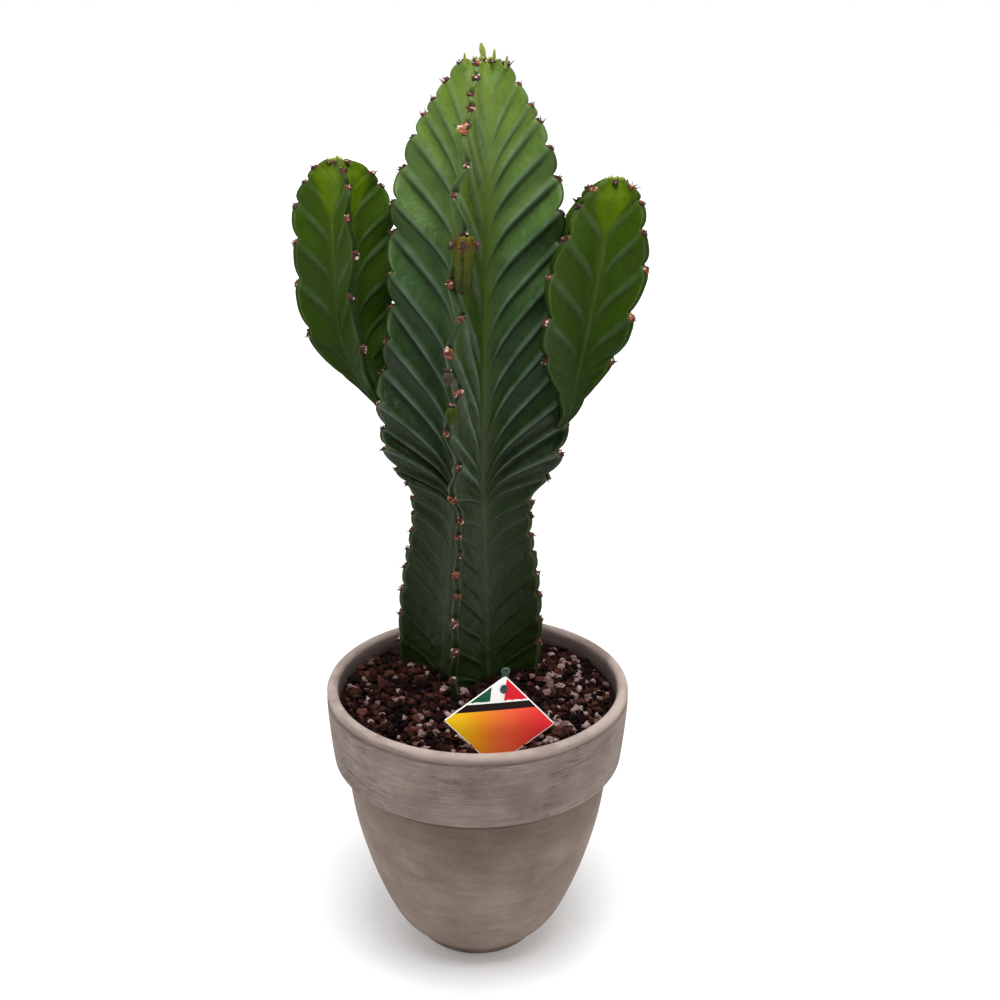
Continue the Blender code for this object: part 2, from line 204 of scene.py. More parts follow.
class Nodes:
    """Short calls for building a material's node tree."""

    def __init__(self, name):
        self.material = bpy.data.materials.new(name)
        self.material.use_nodes = True
        self.tree = self.material.node_tree
        self.shader = self.tree.nodes["Principled BSDF"]

    def add(self, kind, inputs=None, **settings):
        node = self.tree.nodes.new(kind)
        for key, value in settings.items():
            setattr(node, key, value)
        for key, value in (inputs or {}).items():
            self.put(node.inputs[key], value)
        return node

    def put(self, socket, value):
        if isinstance(value, bpy.types.NodeSocket):
            self.tree.links.new(value, socket)
        else:
            socket.default_value = value

    def coordinate(self, axis):
        """One of the object's coordinates: X, Y or Z."""
        vector = self.add("ShaderNodeTexCoord").outputs["Object"]
        return self.add("ShaderNodeSeparateXYZ", {"Vector": vector}).outputs[axis]

    def place(self, scale=(1, 1, 1)):
        vector = self.add("ShaderNodeTexCoord").outputs["Object"]
        return self.add("ShaderNodeMapping", {"Vector": vector, "Scale": scale}).outputs[0]

    def noise(self, scale, detail=4.0, roughness=0.55, stretch=(1, 1, 1), distortion=0.0):
        inputs = {"Scale": scale, "Detail": detail, "Roughness": roughness, "Distortion": distortion}
        return self.add("ShaderNodeTexNoise", {**inputs, "Vector": self.place(stretch)}).outputs["Fac"]

    def voronoi(self, scale):
        return self.add("ShaderNodeTexVoronoi", {"Scale": scale, "Vector": self.place()}).outputs["Distance"]

    def stored(self, name):
        return self.add("ShaderNodeAttribute", attribute_name=name).outputs["Fac"]

    def ramp(self, value, stops):
        node = self.add("ShaderNodeValToRGB", {"Fac": value})
        ramp = node.color_ramp
        for position, colour in stops[2:]:
            ramp.elements.new(position)
        for element, (position, colour) in zip(ramp.elements, stops):
            element.position = position
            element.color = (*colour, 1.0)
        return node.outputs["Color"]

    def levels(self, value, low, high, to_low=0.0, to_high=1.0):
        inputs = {"Value": value, "From Min": low, "From Max": high, "To Min": to_low, "To Max": to_high}
        return self.add("ShaderNodeMapRange", inputs, interpolation_type="SMOOTHSTEP").outputs["Result"]

    def math(self, operation, first, second=0.0, third=0.0):
        node = self.add("ShaderNodeMath", operation=operation)
        for socket, value in zip(node.inputs, (first, second, third)):
            self.put(socket, value)
        return node.outputs[0]

    def times(self, first, second):
        return self.math("MULTIPLY", first, second)

    def plus(self, first, second):
        return self.math("ADD", first, second)

    def mix(self, share, first, second, blend="MIX"):
        node = self.add("ShaderNodeMix", data_type="RGBA", blend_type=blend)
        for socket, value in zip((node.inputs[0], node.inputs[6], node.inputs[7]), (share, first, second)):
            self.put(socket, value if not isinstance(value, tuple) else (*value, 1.0))
        return node.outputs[2]

    def tint(self, colour, share, strength, tint):
        """The colour with a tint over it, as far as the share times the strength."""
        return self.mix(self.times(share, strength), colour, tint)

    def bump(self, height, strength, distance, onto=None):
        inputs = {"Height": height, "Strength": strength, "Distance": distance}
        if onto:
            inputs["Normal"] = onto
        return self.add("ShaderNodeBump", inputs).outputs["Normal"]

    def finish(self, colour, roughness, normal=None, **sockets):
        for key, value in {"Base Color": colour, "Roughness": roughness, "Normal": normal, **sockets}.items():
            if value is not None:
                self.put(self.shader.inputs[key], value)
        return self.material


# Greens by age, from the foot (0) to the growing tip (1). The main stem's dark foot is partly painted shade.
OLD_GREENS = [(0.0, (0.008, 0.018, 0.0005)), (0.28, (0.008, 0.019, 0.001)), (0.42, (0.010, 0.024, 0.004)),
              (0.58, (0.018, 0.043, 0.010)), (0.70, (0.034, 0.080, 0.018)), (0.87, (0.094, 0.168, 0.030)),
              (1.0, (0.150, 0.245, 0.026))]
YOUNG_GREENS = [(0.0, (0.014, 0.030, 0.002)), (0.5, (0.025, 0.054, 0.003)), (1.0, (0.042, 0.084, 0.003))]
SHOOT_GREENS = [(0.0, (0.028, 0.036, 0.002)), (0.5, (0.062, 0.076, 0.004)), (1.0, (0.100, 0.066, 0.008))]
OLIVES = [(0.0, (0.008, 0.016, 0.001)), (0.35, (0.014, 0.026, 0.003)), (0.6, (0.046, 0.076, 0.008)),
          (1.0, (0.150, 0.210, 0.010))]


def green_skin(name, greens, bloom_and_sheen_share, vein_share, fresh_colour, shine):
    """Waxy skin: paler with height, with a waxy coat and a painted sheen on the ridges, olive in the grooves
    and yellow where new.
    """
    nodes = Nodes(name)
    age = nodes.stored("age")
    mottle = nodes.noise(60.0, 6.0, 0.6)
    streak = nodes.noise(260.0, 4.0, 0.6, (1.0, 1.0, 0.03))
    green = nodes.ramp(nodes.plus(age, nodes.levels(mottle, 0.25, 0.75, -0.04, 0.04)), greens)
    # Painted shade: the skin is darkened along the crease under each ridge
    colour = nodes.tint(green, nodes.stored("crease"), 0.72, (0.005, 0.012, 0.002))
    olive = nodes.levels(streak, 0.35, 0.65, 0.35, 1.0)
    colour = nodes.tint(colour, nodes.stored("olive"), olive, nodes.ramp(age, OLIVES))
    # The ridges get a pale waxy coat, lightened further as a painted sheen where the light catches them
    bloom_and_sheen = nodes.times(nodes.stored("ridge"), nodes.levels(mottle, 0.30, 0.65, 0.45, 1.0))
    bloom_and_sheen = nodes.times(bloom_and_sheen, nodes.levels(age, 0.20, 0.50))
    colour = nodes.tint(colour, bloom_and_sheen, bloom_and_sheen_share, (0.150, 0.215, 0.155))
    vein = nodes.levels(streak, 0.3, 0.7, 0.3 * vein_share, vein_share)
    colour = nodes.tint(colour, nodes.stored("vein"), vein, (0.120, 0.180, 0.040))
    fresh = nodes.levels(streak, 0.2, 0.8, 0.75, 1.0)
    colour = nodes.tint(colour, nodes.stored("fresh"), fresh, fresh_colour)
    speck = nodes.levels(nodes.voronoi(420.0), 0.15, 0.06)
    sparse = nodes.levels(nodes.noise(30.0, 2.0), 0.50, 0.62)
    colour = nodes.tint(colour, nodes.times(speck, sparse), 0.5, (0.20, 0.22, 0.16))
    # Painted shade: the rounded margin of each wing is darkened where it turns from the light
    colour = nodes.tint(colour, nodes.stored("face"), 0.55, (0.010, 0.022, 0.002))
    colour = nodes.tint(colour, nodes.stored("rim"), 0.30, (0.140, 0.190, 0.070))
    normal = nodes.bump(nodes.noise(75.0, 3.0, 0.6), 0.5, 0.0028)
    normal = nodes.bump(nodes.noise(1100.0, 3.0, 0.6), 0.5, 0.0003, normal)
    normal = nodes.bump(nodes.noise(170.0, 5.0, 0.65, (1.0, 1.0, 0.4)), 0.85, 0.0011, normal)
    normal = nodes.bump(nodes.times(streak, nodes.stored("olive")), 0.7, 0.0010, normal)
    roughness = nodes.levels(mottle, 0.3, 0.7, 0.34, 0.50)
    return nodes.finish(colour, roughness, normal, **{"Specular IOR Level": shine})


def grained(name, grain, stops, roughness, bump, **sockets):
    """A material whose one noise gives both its colours and its grain."""
    nodes = Nodes(name)
    fibre = nodes.noise(*grain)
    return nodes.finish(nodes.ramp(fibre, stops), roughness, nodes.bump(fibre, *bump), **sockets)


def areole_crust():
    """Corky pads and crumbs, from dark maroon through rust to cream."""
    nodes = Nodes("areole_crust")
    grain = nodes.noise(900.0, 4.0, 0.7)
    tone = nodes.plus(nodes.stored("tone"), nodes.levels(grain, 0.25, 0.75, -0.16, 0.16))
    colour = nodes.ramp(tone, [(0.0, (0.018, 0.006, 0.006)), (0.30, (0.075, 0.018, 0.014)),
                               (0.52, (0.240, 0.066, 0.024)), (0.72, (0.470, 0.190, 0.060)),
                               (0.88, (0.560, 0.380, 0.270)), (1.0, (0.700, 0.600, 0.500))])
    return nodes.finish(colour, 0.85, nodes.bump(grain, 0.8, 0.0006))


def spine_horn():
    nodes = Nodes("spine_horn")
    colour = nodes.ramp(nodes.noise(400.0, 3.0), [(0.3, (0.014, 0.005, 0.005)), (0.7, (0.060, 0.022, 0.018))])
    return nodes.finish(colour, 0.5, nodes.bump(nodes.noise(1500.0), 0.3, 0.0001))


def young_leaf():
    stops = [(0.25, (0.130, 0.190, 0.015)), (0.75, (0.330, 0.400, 0.060))]
    return grained("young_leaf", (500.0, 3.0, 0.6, (1.0, 1.0, 0.1)), stops, 0.42, (0.4, 0.0003),
                   **{"Subsurface Weight": 0.1})


def dry_husk():
    stops = [(0.25, (0.010, 0.006, 0.004)), (0.55, (0.045, 0.028, 0.015)), (0.8, (0.150, 0.095, 0.055))]
    return grained("dry_husk", (420.0, 6.0, 0.7, (1.0, 1.0, 0.3)), stops, 0.85, (0.9, 0.0008))


def soil_crumbs():
    stops = [(0.3, (0.012, 0.008, 0.006)), (0.6, (0.050, 0.032, 0.021)), (0.8, (0.110, 0.075, 0.050))]
    return grained("soil_crumbs", (260.0, 8.0, 0.75), stops, 0.95, (1.0, 0.002))


def lava_rock():
    """Porous lava: mostly near black, some rust red and a few pale pinkish grey chips."""
    nodes = Nodes("lava_rock")
    grain = nodes.noise(420.0, 6.0, 0.7)
    tone = nodes.plus(nodes.stored("tone"), nodes.levels(grain, 0.2, 0.8, -0.07, 0.07))
    colour = nodes.ramp(tone, [(0.0, (0.004, 0.002, 0.002)), (0.35, (0.013, 0.004, 0.003)),
                               (0.55, (0.034, 0.011, 0.008)), (0.78, (0.092, 0.030, 0.021)),
                               (0.88, (0.200, 0.120, 0.112)), (1.0, (0.430, 0.320, 0.300))])
    pores = nodes.levels(nodes.voronoi(900.0), 0.05, 0.45)
    # Painted shade: the pores are darkened
    colour = nodes.mix(nodes.levels(pores, 0.0, 0.5, 0.6, 0.0), colour, (0.008, 0.005, 0.005))
    normal = nodes.bump(pores, 0.9, 0.0008, nodes.bump(grain, 0.8, 0.0012))
    return nodes.finish(colour, 0.92, normal, **{"Specular IOR Level": 0.08})


def clay():
    """Grey mixed clay, wiped in fine rings, with dark smudges and scratches on the band and a lip painted
    paler as painted light.
    """
    nodes = Nodes("grey_clay")
    height = nodes.coordinate("Z")
    rings = nodes.noise(1.0, 6.0, 0.70, (30.0, 30.0, 800.0), 0.3)
    strokes = nodes.noise(1.0, 5.0, 0.65, (28.0, 28.0, 150.0), 0.6)
    scratch = nodes.noise(1.0, 7.0, 0.80, (50.0, 50.0, 520.0), 0.9)
    chalk = nodes.noise(1.0, 6.0, 0.75, (48.0, 48.0, 420.0), 0.5)
    cloud = nodes.noise(20.0, 7.0, 0.66)
    tone = nodes.plus(nodes.times(rings, 0.34), nodes.times(strokes, 0.14))
    tone = nodes.plus(tone, nodes.times(cloud, 0.52))
    body = nodes.ramp(tone, [(0.30, (0.100, 0.070, 0.052)), (0.50, (0.200, 0.148, 0.117)),
                             (0.72, (0.330, 0.262, 0.216))])
    banded = nodes.ramp(tone, [(0.32, (0.105, 0.073, 0.062)), (0.50, (0.216, 0.163, 0.140)),
                               (0.68, (0.370, 0.298, 0.256))])
    band = nodes.levels(height, 0.150, 0.154)
    colour = nodes.mix(band, body, banded)
    # Painted shadow: a narrow dark line on the body right under the band's edge, over a broader
    # darkening and browning towards the band that is partly painted shade
    shade = nodes.math("MAXIMUM", nodes.levels(height, 0.105, 0.147, 0.0, 0.42),
                       nodes.levels(height, 0.1425, 0.1460, 0.0, 0.75))
    colour = nodes.tint(colour, shade, nodes.levels(height, 0.1515, 0.1505), (0.085, 0.052, 0.038))
    smudge = nodes.levels(nodes.noise(17.0, 4.0, 0.6), 0.44, 0.58)
    worn = nodes.times(band, nodes.levels(height, 0.207, 0.196, 0.35, 1.0))
    marks = nodes.times(nodes.levels(scratch, 0.50, 0.60), nodes.times(smudge, worn))
    colour = nodes.tint(colour, marks, 0.80, (0.050, 0.038, 0.038))
    chalk = nodes.times(nodes.levels(chalk, 0.54, 0.70), nodes.levels(cloud, 0.42, 0.58))
    colour = nodes.tint(colour, chalk, nodes.levels(band, 0.0, 1.0, 0.20, 0.40), (0.430, 0.370, 0.330))
    # Painted shade: a thin dark line along the fine groove under the lip
    waver = nodes.levels(strokes, 0.3, 0.7, -0.0006, 0.0006)
    groove = nodes.math("COMPARE", nodes.plus(height, waver), LIP_GROOVE, 0.0006)
    colour = nodes.tint(colour, groove, nodes.levels(cloud, 0.35, 0.65, 0.15, 0.60), (0.080, 0.064, 0.058))
    # Painted light: the lip's upturned top is painted paler where the light falls on it
    lip = nodes.levels(height, 0.2030, 0.2080)
    colour = nodes.tint(colour, lip, nodes.levels(strokes, 0.30, 0.62, 0.15, 0.80), (0.410, 0.330, 0.290))
    # Painted shade: the inside of the pot is darkened
    colour = nodes.tint(colour, nodes.stored("inner"), 0.80, (0.040, 0.028, 0.024))
    speck = nodes.levels(nodes.voronoi(420.0), 0.12, 0.05, 0.0, 0.7)
    colour = nodes.tint(colour, speck, nodes.levels(cloud, 0.5, 0.6), (0.110, 0.088, 0.080))
    normal = nodes.bump(strokes, 0.25, 0.0006)
    normal = nodes.bump(nodes.noise(1500.0, 3.0, 0.6), 0.35, 0.0003, normal)
    normal = nodes.bump(marks, 0.6, 0.0004, nodes.bump(rings, 0.30, 0.0003, normal))
    roughness = nodes.levels(rings, 0.3, 0.7, 0.70, 0.86)
    return nodes.finish(colour, roughness, normal, **{"Specular IOR Level": 0.3})


def stake_plastic():
    nodes = Nodes("stake_plastic")
    flow = nodes.noise(120.0, 3.0)
    colour = nodes.ramp(flow, [(0.3, (0.004, 0.022, 0.016)), (0.7, (0.007, 0.036, 0.026))])
    return nodes.finish(colour, nodes.levels(flow, 0.3, 0.7, 0.30, 0.42), nodes.bump(flow, 0.15, 0.0003))


def card_print():
    """Plain fields in a white border: green, white and red above a dark band, yellow to red below, with a
    painted glow.
    """
    nodes = Nodes("card_print")
    paper, green, red = (0.900, 0.890, 0.860), (0.003, 0.085, 0.032), (0.680, 0.008, 0.022)
    across, up = nodes.stored("across"), nodes.stored("up")
    waver = nodes.levels(nodes.noise(300.0, 5.0, 0.7), 0.2, 0.8, -0.0009, 0.0009)
    tilted = nodes.math("SUBTRACT", up, nodes.times(across, BAND_SLOPE))
    share = nodes.plus(across, nodes.levels(nodes.noise(60.0), 0.2, 0.8, -0.003, 0.003))
    colour = nodes.ramp(nodes.levels(share, -0.034, 0.032),
                        [(0.0, (0.980, 0.600, 0.010)), (0.28, (0.980, 0.300, 0.020)),
                         (0.62, (0.960, 0.150, 0.050)), (1.0, (0.850, 0.035, 0.040))])
    fields = nodes.mix(nodes.math("GREATER_THAN", across, WHITE_MIDDLE), green, red)
    fields = nodes.mix(nodes.math("COMPARE", across, WHITE_MIDDLE, WHITE_HALF), fields, paper)
    ragged = nodes.math("LESS_THAN", nodes.plus(tilted, waver), BAND_TOP + 0.0014)
    fields = nodes.mix(ragged, fields, paper)
    colour = nodes.mix(nodes.math("GREATER_THAN", tilted, BAND_LOW), colour, (0.012, 0.002, 0.004))
    colour = nodes.mix(nodes.math("GREATER_THAN", tilted, BAND_TOP), colour, fields)
    one = nodes.math("ABSOLUTE", nodes.plus(across, up))
    other = nodes.math("ABSOLUTE", nodes.math("SUBTRACT", across, up))
    edge = nodes.math("GREATER_THAN", nodes.math("MAXIMUM", one, other), CARD_REACH - CARD_BORDER)
    colour = nodes.mix(edge, colour, paper)
    dots = nodes.levels(nodes.voronoi(2600.0), 0.1, 0.6, 0.90, 1.0)
    colour = nodes.mix(1.0, colour, nodes.ramp(dots, [(0.0, (0.0,) * 3), (1.0, (1.0,) * 3)]), "MULTIPLY")
    # Painted light: the print glows a little in its own colours
    nodes.put(nodes.shader.inputs["Emission Color"], colour)
    normal = nodes.bump(nodes.noise(90.0), 0.1, 0.0002)
    return nodes.finish(colour, 0.45, normal, **{"Specular IOR Level": 0.15, "Emission Strength": 0.28})


def studio_floor():
    """Pale near the pot, and glowing white towards the horizon so that it meets the sky."""
    nodes = Nodes("studio_floor")
    colour = nodes.ramp(nodes.noise(3.0, 2.0), [(0.3, (0.84, 0.84, 0.84)), (0.7, (0.88, 0.88, 0.88))])
    glow = nodes.levels(nodes.coordinate("Y"), 0.1, 1.8, 0.12, 1.0)
    white = (1.0, 1.0, 1.0, 1.0)
    return nodes.finish(colour, 0.9, None, **{"Emission Color": white, "Emission Strength": glow})


# Winged stems


class WingedStem:
    """A stem whose section is a star of wings. Every wing carries teeth along its margin, and from the top of
    each tooth a ridge runs inward and down to the groove, with a crease right under it. Heights and sizes come
    in millimetres and are kept in metres."""

    CAP = 0.14  # share of a flank's columns that rounds the margin
    RIDGE = 0.12  # how far down its tooth a ridge starts
    CREASE = 0.16  # how far under the ridge the crease is, as a share of the tooth
    FLANK_POWER = 2.1
    SWAY_POWER = 2.2

    def __init__(self, wings, axis, radius, groove, edge, notches, depth, sway, fall, pleat, fresh, seed,
                 front_olive=0.0, lengths=(1.0, 1.0, 1.0, 1.0, 1.0)):
        self.wings = [math.radians(angle) for angle in wings]
        self.axis, self.radius, self.groove, self.edge = map(metres, (axis, radius, groove, edge))
        self.depth, self.sway, self.fall, self.pleat = map(metres, (depth, sway, fall, pleat))
        self.fresh = metres([fresh])[0]  # height of new growth in the groove, rise to the margin, blend
        self.front_olive = front_olive  # how olive the flanks of the first wing are
        self.lengths = lengths  # how far each wing reaches, against the stem's radius
        self.low, self.high = self.axis[0][0], self.axis[-1][0]
        draw = random.Random(seed)
        self.teeth = [self.extend(heights) for heights in metres(notches)]
        self.vigour = [np.array([draw.uniform(0.75, 1.2) for tooth in teeth]) for teeth in self.teeth]

    def extend(self, heights):
        """A wing's notches, carried on below its foot and beyond its tip, since the creases that reach a
        height can start well above it."""
        below, above = heights[1] - heights[0], heights[-1] - heights[-2]
        under = np.arange(heights[0] - below, self.low - 0.03, -below)[::-1]
        over = np.arange(heights[-1] + above, self.high + 0.20, above)
        return np.concatenate([under, heights, over])

    def centre(self, height):
        x = eased([(z, x) for z, x, y in self.axis], height)
        y = eased([(z, y) for z, x, y in self.axis], height)
        return np.stack([x, y, height * np.ones_like(x)], -1)

    def tooth_place(self, wing, height):
        """How far down its tooth a height is, from 0 at the notch above to 1 at the next, and the tooth."""
        teeth = self.teeth[wing]
        count = np.interp(height, teeth, np.arange(len(teeth)))
        tooth = np.minimum(np.floor(count), len(teeth) - 2).astype(int)
        return 1 - (count - tooth), tooth

    def margin_radius(self, wing, height):
        """How far a wing reaches at a height, and how much its tooth bulges there."""
        down, tooth = self.tooth_place(wing, height)
        down = np.clip(down, 0, 1)
        rise = 1 - (1 - np.clip(down / 0.34, 0, 1)) ** 2
        bulge = rise * np.cos(np.pi / 2 * np.clip((down - 0.34) / 0.66, 0, 1) ** 1.5) ** 0.8
        vigour = self.vigour[wing][tooth]
        envelope = eased(self.radius, height) * self.lengths[wing]
        return envelope - straight(self.depth, height) * (1 - bulge * (0.7 + 0.3 * vigour)), bulge

    def ridges(self, wing, row):
        """Along a wing: the lift of its pleats, how near a row is to a ridge and a crease, and its swing."""
        down, tooth = self.tooth_place(wing, row)
        past = (down - self.RIDGE) % 1.0
        drop = 0.5 + 0.5 * np.cos(np.pi * np.clip(past / self.CREASE, 0, 1))
        climb = smooth_step(0.0, 1.0, np.clip((past - self.CREASE) / (1 - self.CREASE), 0, 1) ** 1.5)
        vigour = np.interp(tooth + 1 - down, np.arange(len(self.vigour[wing])), self.vigour[wing])
        ridge = np.exp(-(np.minimum(past, 1 - past) / 0.08) ** 2)
        crease = np.exp(-((past - 0.85 * self.CREASE) / 0.07) ** 2)
        crease = crease * np.clip(straight(self.pleat, row) / 0.0045, 0, 1)
        swing = np.cos(np.pi * (tooth + 1 - down)) * straight(self.sway, row)
        return np.where(past < self.CREASE, drop, climb) * vigour - 0.6, ridge, crease, swing

    def surface(self, wing, row, column):
        """Points, ridge, crease and reach of a wing. A row is a height on the margin, and falls along a ridge
        to the grooves. A column runs from -1 at the groove before, through 0 at the margin, to 1 after it."""
        row, column = np.broadcast_arrays(np.asarray(row, float), np.asarray(column, float))
        angle = self.wings[wing]
        following, before = self.wings[(wing + 1) % len(self.wings)], self.wings[wing - 1]
        sector = np.where(column > 0, (following - angle) % math.tau, (angle - before) % math.tau) / 2
        inward = np.abs(column)
        turn = np.clip(inward / self.CAP, 0, 1) * math.pi / 2
        share = np.clip((1 - inward) / (1 - self.CAP), 0, 1)
        on_cap = inward < self.CAP
        height = row - straight(self.fall, row) * (0.72 * (1 - share) + 0.28 * (1 - share) ** 8)
        radius, bulge = self.margin_radius(wing, row)
        groove = np.minimum(eased(self.groove, height), 0.8 * radius)
        edge = np.minimum(straight(self.edge, row) * (0.75 + 0.35 * bulge), 0.4 * radius)
        start, side = groove * np.cos(sector), groove * np.sin(sector)
        shoulder = radius - 0.8 * edge
        out = np.where(on_cap, shoulder + 0.8 * edge * np.cos(turn), start + (shoulder - start) * share)
        half = np.where(on_cap, edge * np.sin(turn), edge + (side - edge) * (1 - share) ** self.FLANK_POWER)
        lift, ridge, crease, swing = self.ridges(wing, row)
        fade = smooth_step(0.0, 0.30, share) * (0.35 + 0.65 * smooth_step(0.0, 0.012, radius - out))
        half = half + straight(self.pleat, row) * fade * lift * np.where(on_cap, np.sin(turn), 1)
        sway = swing * np.clip(out / radius, 0, 1) ** self.SWAY_POWER * smooth_step(0, 0.4, share)
        outward = np.array([math.cos(angle), math.sin(angle), 0.0])
        sideways = np.array([-math.sin(angle), math.cos(angle), 0.0])
        aside = np.sign(column) * half + sway
        points = self.centre(height) + out[..., None] * outward + aside[..., None] * sideways
        return points, ridge * fade, crease * fade, out / radius

    def columns(self, cap_points, flank_points):
        cap = np.linspace(0, self.CAP, cap_points, endpoint=False)
        flank = self.CAP + (1 - self.CAP) * np.linspace(0, 1, flank_points) ** 1.15
        half = np.concatenate([cap, flank])
        return np.concatenate([-half[::-1], half[1:-1]])

    def mesh(self, name, step, cap_points=4, flank_points=17):
        rows = np.append(np.arange(self.low, self.high, step), self.high)
        columns = self.columns(cap_points, flank_points)
        parts = [self.surface(wing, rows[:, None], columns[None, :]) for wing in range(len(self.wings))]
        points, ridge, crease, reach = (np.concatenate(group, axis=1) for group in zip(*parts))
        sunk = self.fall[-1][1] * 0.7
        ends = np.array([self.centre(self.low) - [0, 0, 0.002], self.centre(self.high) - [0, 0, sunk]])
        vertices = np.concatenate([points.reshape(-1, 3), ends])
        mesh = make_mesh(name, vertices, tube_faces(*points.shape[:2]))
        olive = smooth_step(0.36, 0.16, reach)
        flank = len(columns)
        front = self.front_olive * smooth_step(0.97, 0.80, reach[:, :flank])
        olive[:, :flank] = np.maximum(olive[:, :flank], front)
        fresh_from = self.fresh[0] + self.fresh[1] * np.clip((reach - 0.25) / 0.7, 0, 1)
        inward = np.tile(np.abs(columns), len(self.wings)) * np.ones_like(reach)
        # The ridge mark carries a painted sheen, and the crease and face marks painted shade, into the skin
        marks = {
            "ridge": ridge,
            "crease": crease,
            "olive": olive,
            "age": np.clip((points[..., 2] - self.low) / (self.high - self.low), 0, 1),
            "fresh": smooth_step(0.0, self.fresh[2], points[..., 2] - fresh_from),
            "vein": smooth_step(0.96, 1.0, inward),
            "face": smooth_step(self.CAP, 0.6 * self.CAP, inward),
            "rim": np.exp(-((inward - self.CAP) / 0.02) ** 2)}
        for key, values in marks.items():
            store(mesh, key, np.concatenate([values.ravel(), (0, key in ("age", "fresh"))]))
        return mesh

    def outline(self, height):
        """The section's outline at one height."""
        columns = self.columns(3, 8)
        return np.concatenate([self.surface(wing, height, columns)[0] for wing in range(len(self.wings))])

    def pads(self, lowest, highest):
        """Where the areoles sit: the middle, the way along the shoulder, the way across and the face."""
        for wing, teeth in enumerate(self.teeth):
            for below, notch in zip(teeth, teeth[1:]):
                if not lowest < notch < highest:
                    continue
                inner = self.surface(wing, notch - 0.03 * (notch - below), 0.0)[0]
                outer = self.surface(wing, notch - 0.20 * (notch - below), 0.0)[0]
                along = Vector(outer - inner).normalized()
                outward = heading(self.wings[wing])
                across = Vector((-outward.y, outward.x, 0))
                face = across.cross(along)
                if face.dot(outward + UP) < 0:
                    face = -face
                yield Vector((inner + outer) / 2), along, across, face


# Heights of the areoles up each wing that shows from the front. Stems are given in millimetres.
FRONT_NOTCHES = (198, 221, 243, 265, 284, 299.5, 313, 326, 338, 358.5, 384.5, 409, 436, 460, 483, 504, 536,
                 559, 576, 597, 609, 616.5, 626.5, 635)
RIGHT_NOTCHES = (207, 228, 248, 267, 284, 299, 314, 329, 339, 358, 378, 398, 420, 441, 462, 483, 503, 523,
                 544, 565.5, 585, 601, 610, 623, 635)
LEFT_NOTCHES = (204, 226, 247, 268, 285, 299.5, 313.5, 327, 338, 350, 359, 377, 389, 410, 432, 455, 478,
                501, 529, 549, 571, 591, 604, 613, 625, 636)

# Teeth on the front rib that carry a larger scar: height, size and tone
SCARS = [(0.597, 1.55, 0.58), (0.504, 1.25, 0.45), (0.460, 1.40, 0.60), (0.350, 0.9, 0.6)]
SCAR_REACH = 0.0115


def shifted(heights, by):
    """A hidden wing takes a neighbour's spacing, moved along the stem."""
    return tuple(height + by for height in heights)


MAIN = WingedStem(
    wings=(-100.5, -4.0, 83.0, 173.0),
    axis=[(186, -7.8, 30), (350, -5, 29), (500, -3, 28), (637, 1.8, 27)],
    radius=[(186, 54.5), (240, 54.5), (280, 51), (325, 44.5), (343, 45.5), (356, 56.5), (370, 64),
            (390, 68), (412, 70), (440, 66), (467, 62), (540, 59.5), (579, 50), (608, 35.2), (624, 24),
            (632, 18.5), (637, 13)],
    groove=[(186, 26), (300, 18), (360, 13), (560, 11.5), (620, 9), (637, 5.5)],
    edge=[(186, 2.6), (350, 2.4), (400, 3), (600, 2.6), (637, 2)],
    notches=[FRONT_NOTCHES, RIGHT_NOTCHES, shifted(RIGHT_NOTCHES, -6), LEFT_NOTCHES],
    depth=[(190, 2.6), (345, 3.6), (380, 5.8), (560, 5.4), (600, 4.2), (637, 2.8)],
    sway=[(340, -0.8), (375, -4), (560, -4), (600, -1)],
    fall=[(186, 0), (230, 34), (300, 44), (335, 20), (352, 18), (385, 45), (410, 65), (440, 82), (475, 87),
          (520, 74), (550, 62), (600, 58), (622, 48), (633, 24), (637, 5)],
    pleat=[(190, 1.1), (300, 1.3), (345, 2.6), (380, 4.8), (560, 4.2), (610, 2.8), (637, 1)],
    fresh=(630, 8, 8),
    seed=SEED,
    front_olive=0.75)

LEFT = WingedStem(
    wings=(-70.0, 20.0, 110.0, 200.0),
    axis=[(404, -68, 37), (416, -77, 41), (440, -88.5, 46), (470, -95, 48), (573, -96, 48)],
    radius=[(404, 4.5), (416, 8.5), (430, 19.5), (455, 30.5), (480, 34.2), (525, 34.7), (548, 31.2),
            (561, 23.5), (569, 16), (573, 8)],
    groove=[(404, 3.5), (425, 8), (450, 10), (558, 10), (573, 5)],
    edge=[(404, 1.8), (450, 2.2), (573, 1.8)],
    notches=[(452.8, 489.4, 516.6, 540, 558.5, 567.5), (453.1, 473.1, 499.2, 524.1, 539.7, 556.5, 564.5),
             (456, 485, 512, 534, 554, 565), (460.8, 494.7, 522.3, 545.5, 560.5, 568.9)],
    depth=[(420, 1.5), (440, 4), (550, 3.6), (573, 2)],
    sway=[(430, 0), (450, 3), (540, 2), (565, 0.5)],
    fall=[(404, 0), (430, 10), (460, 26), (500, 34), (540, 32), (560, 22), (573, 3)],
    pleat=[(420, 0.5), (450, 1.6), (540, 1.3), (573, 0.3)],
    fresh=(530, 34, 7),
    seed=SEED + 1,
    lengths=(1.0, 1.13, 1.0, 0.97))

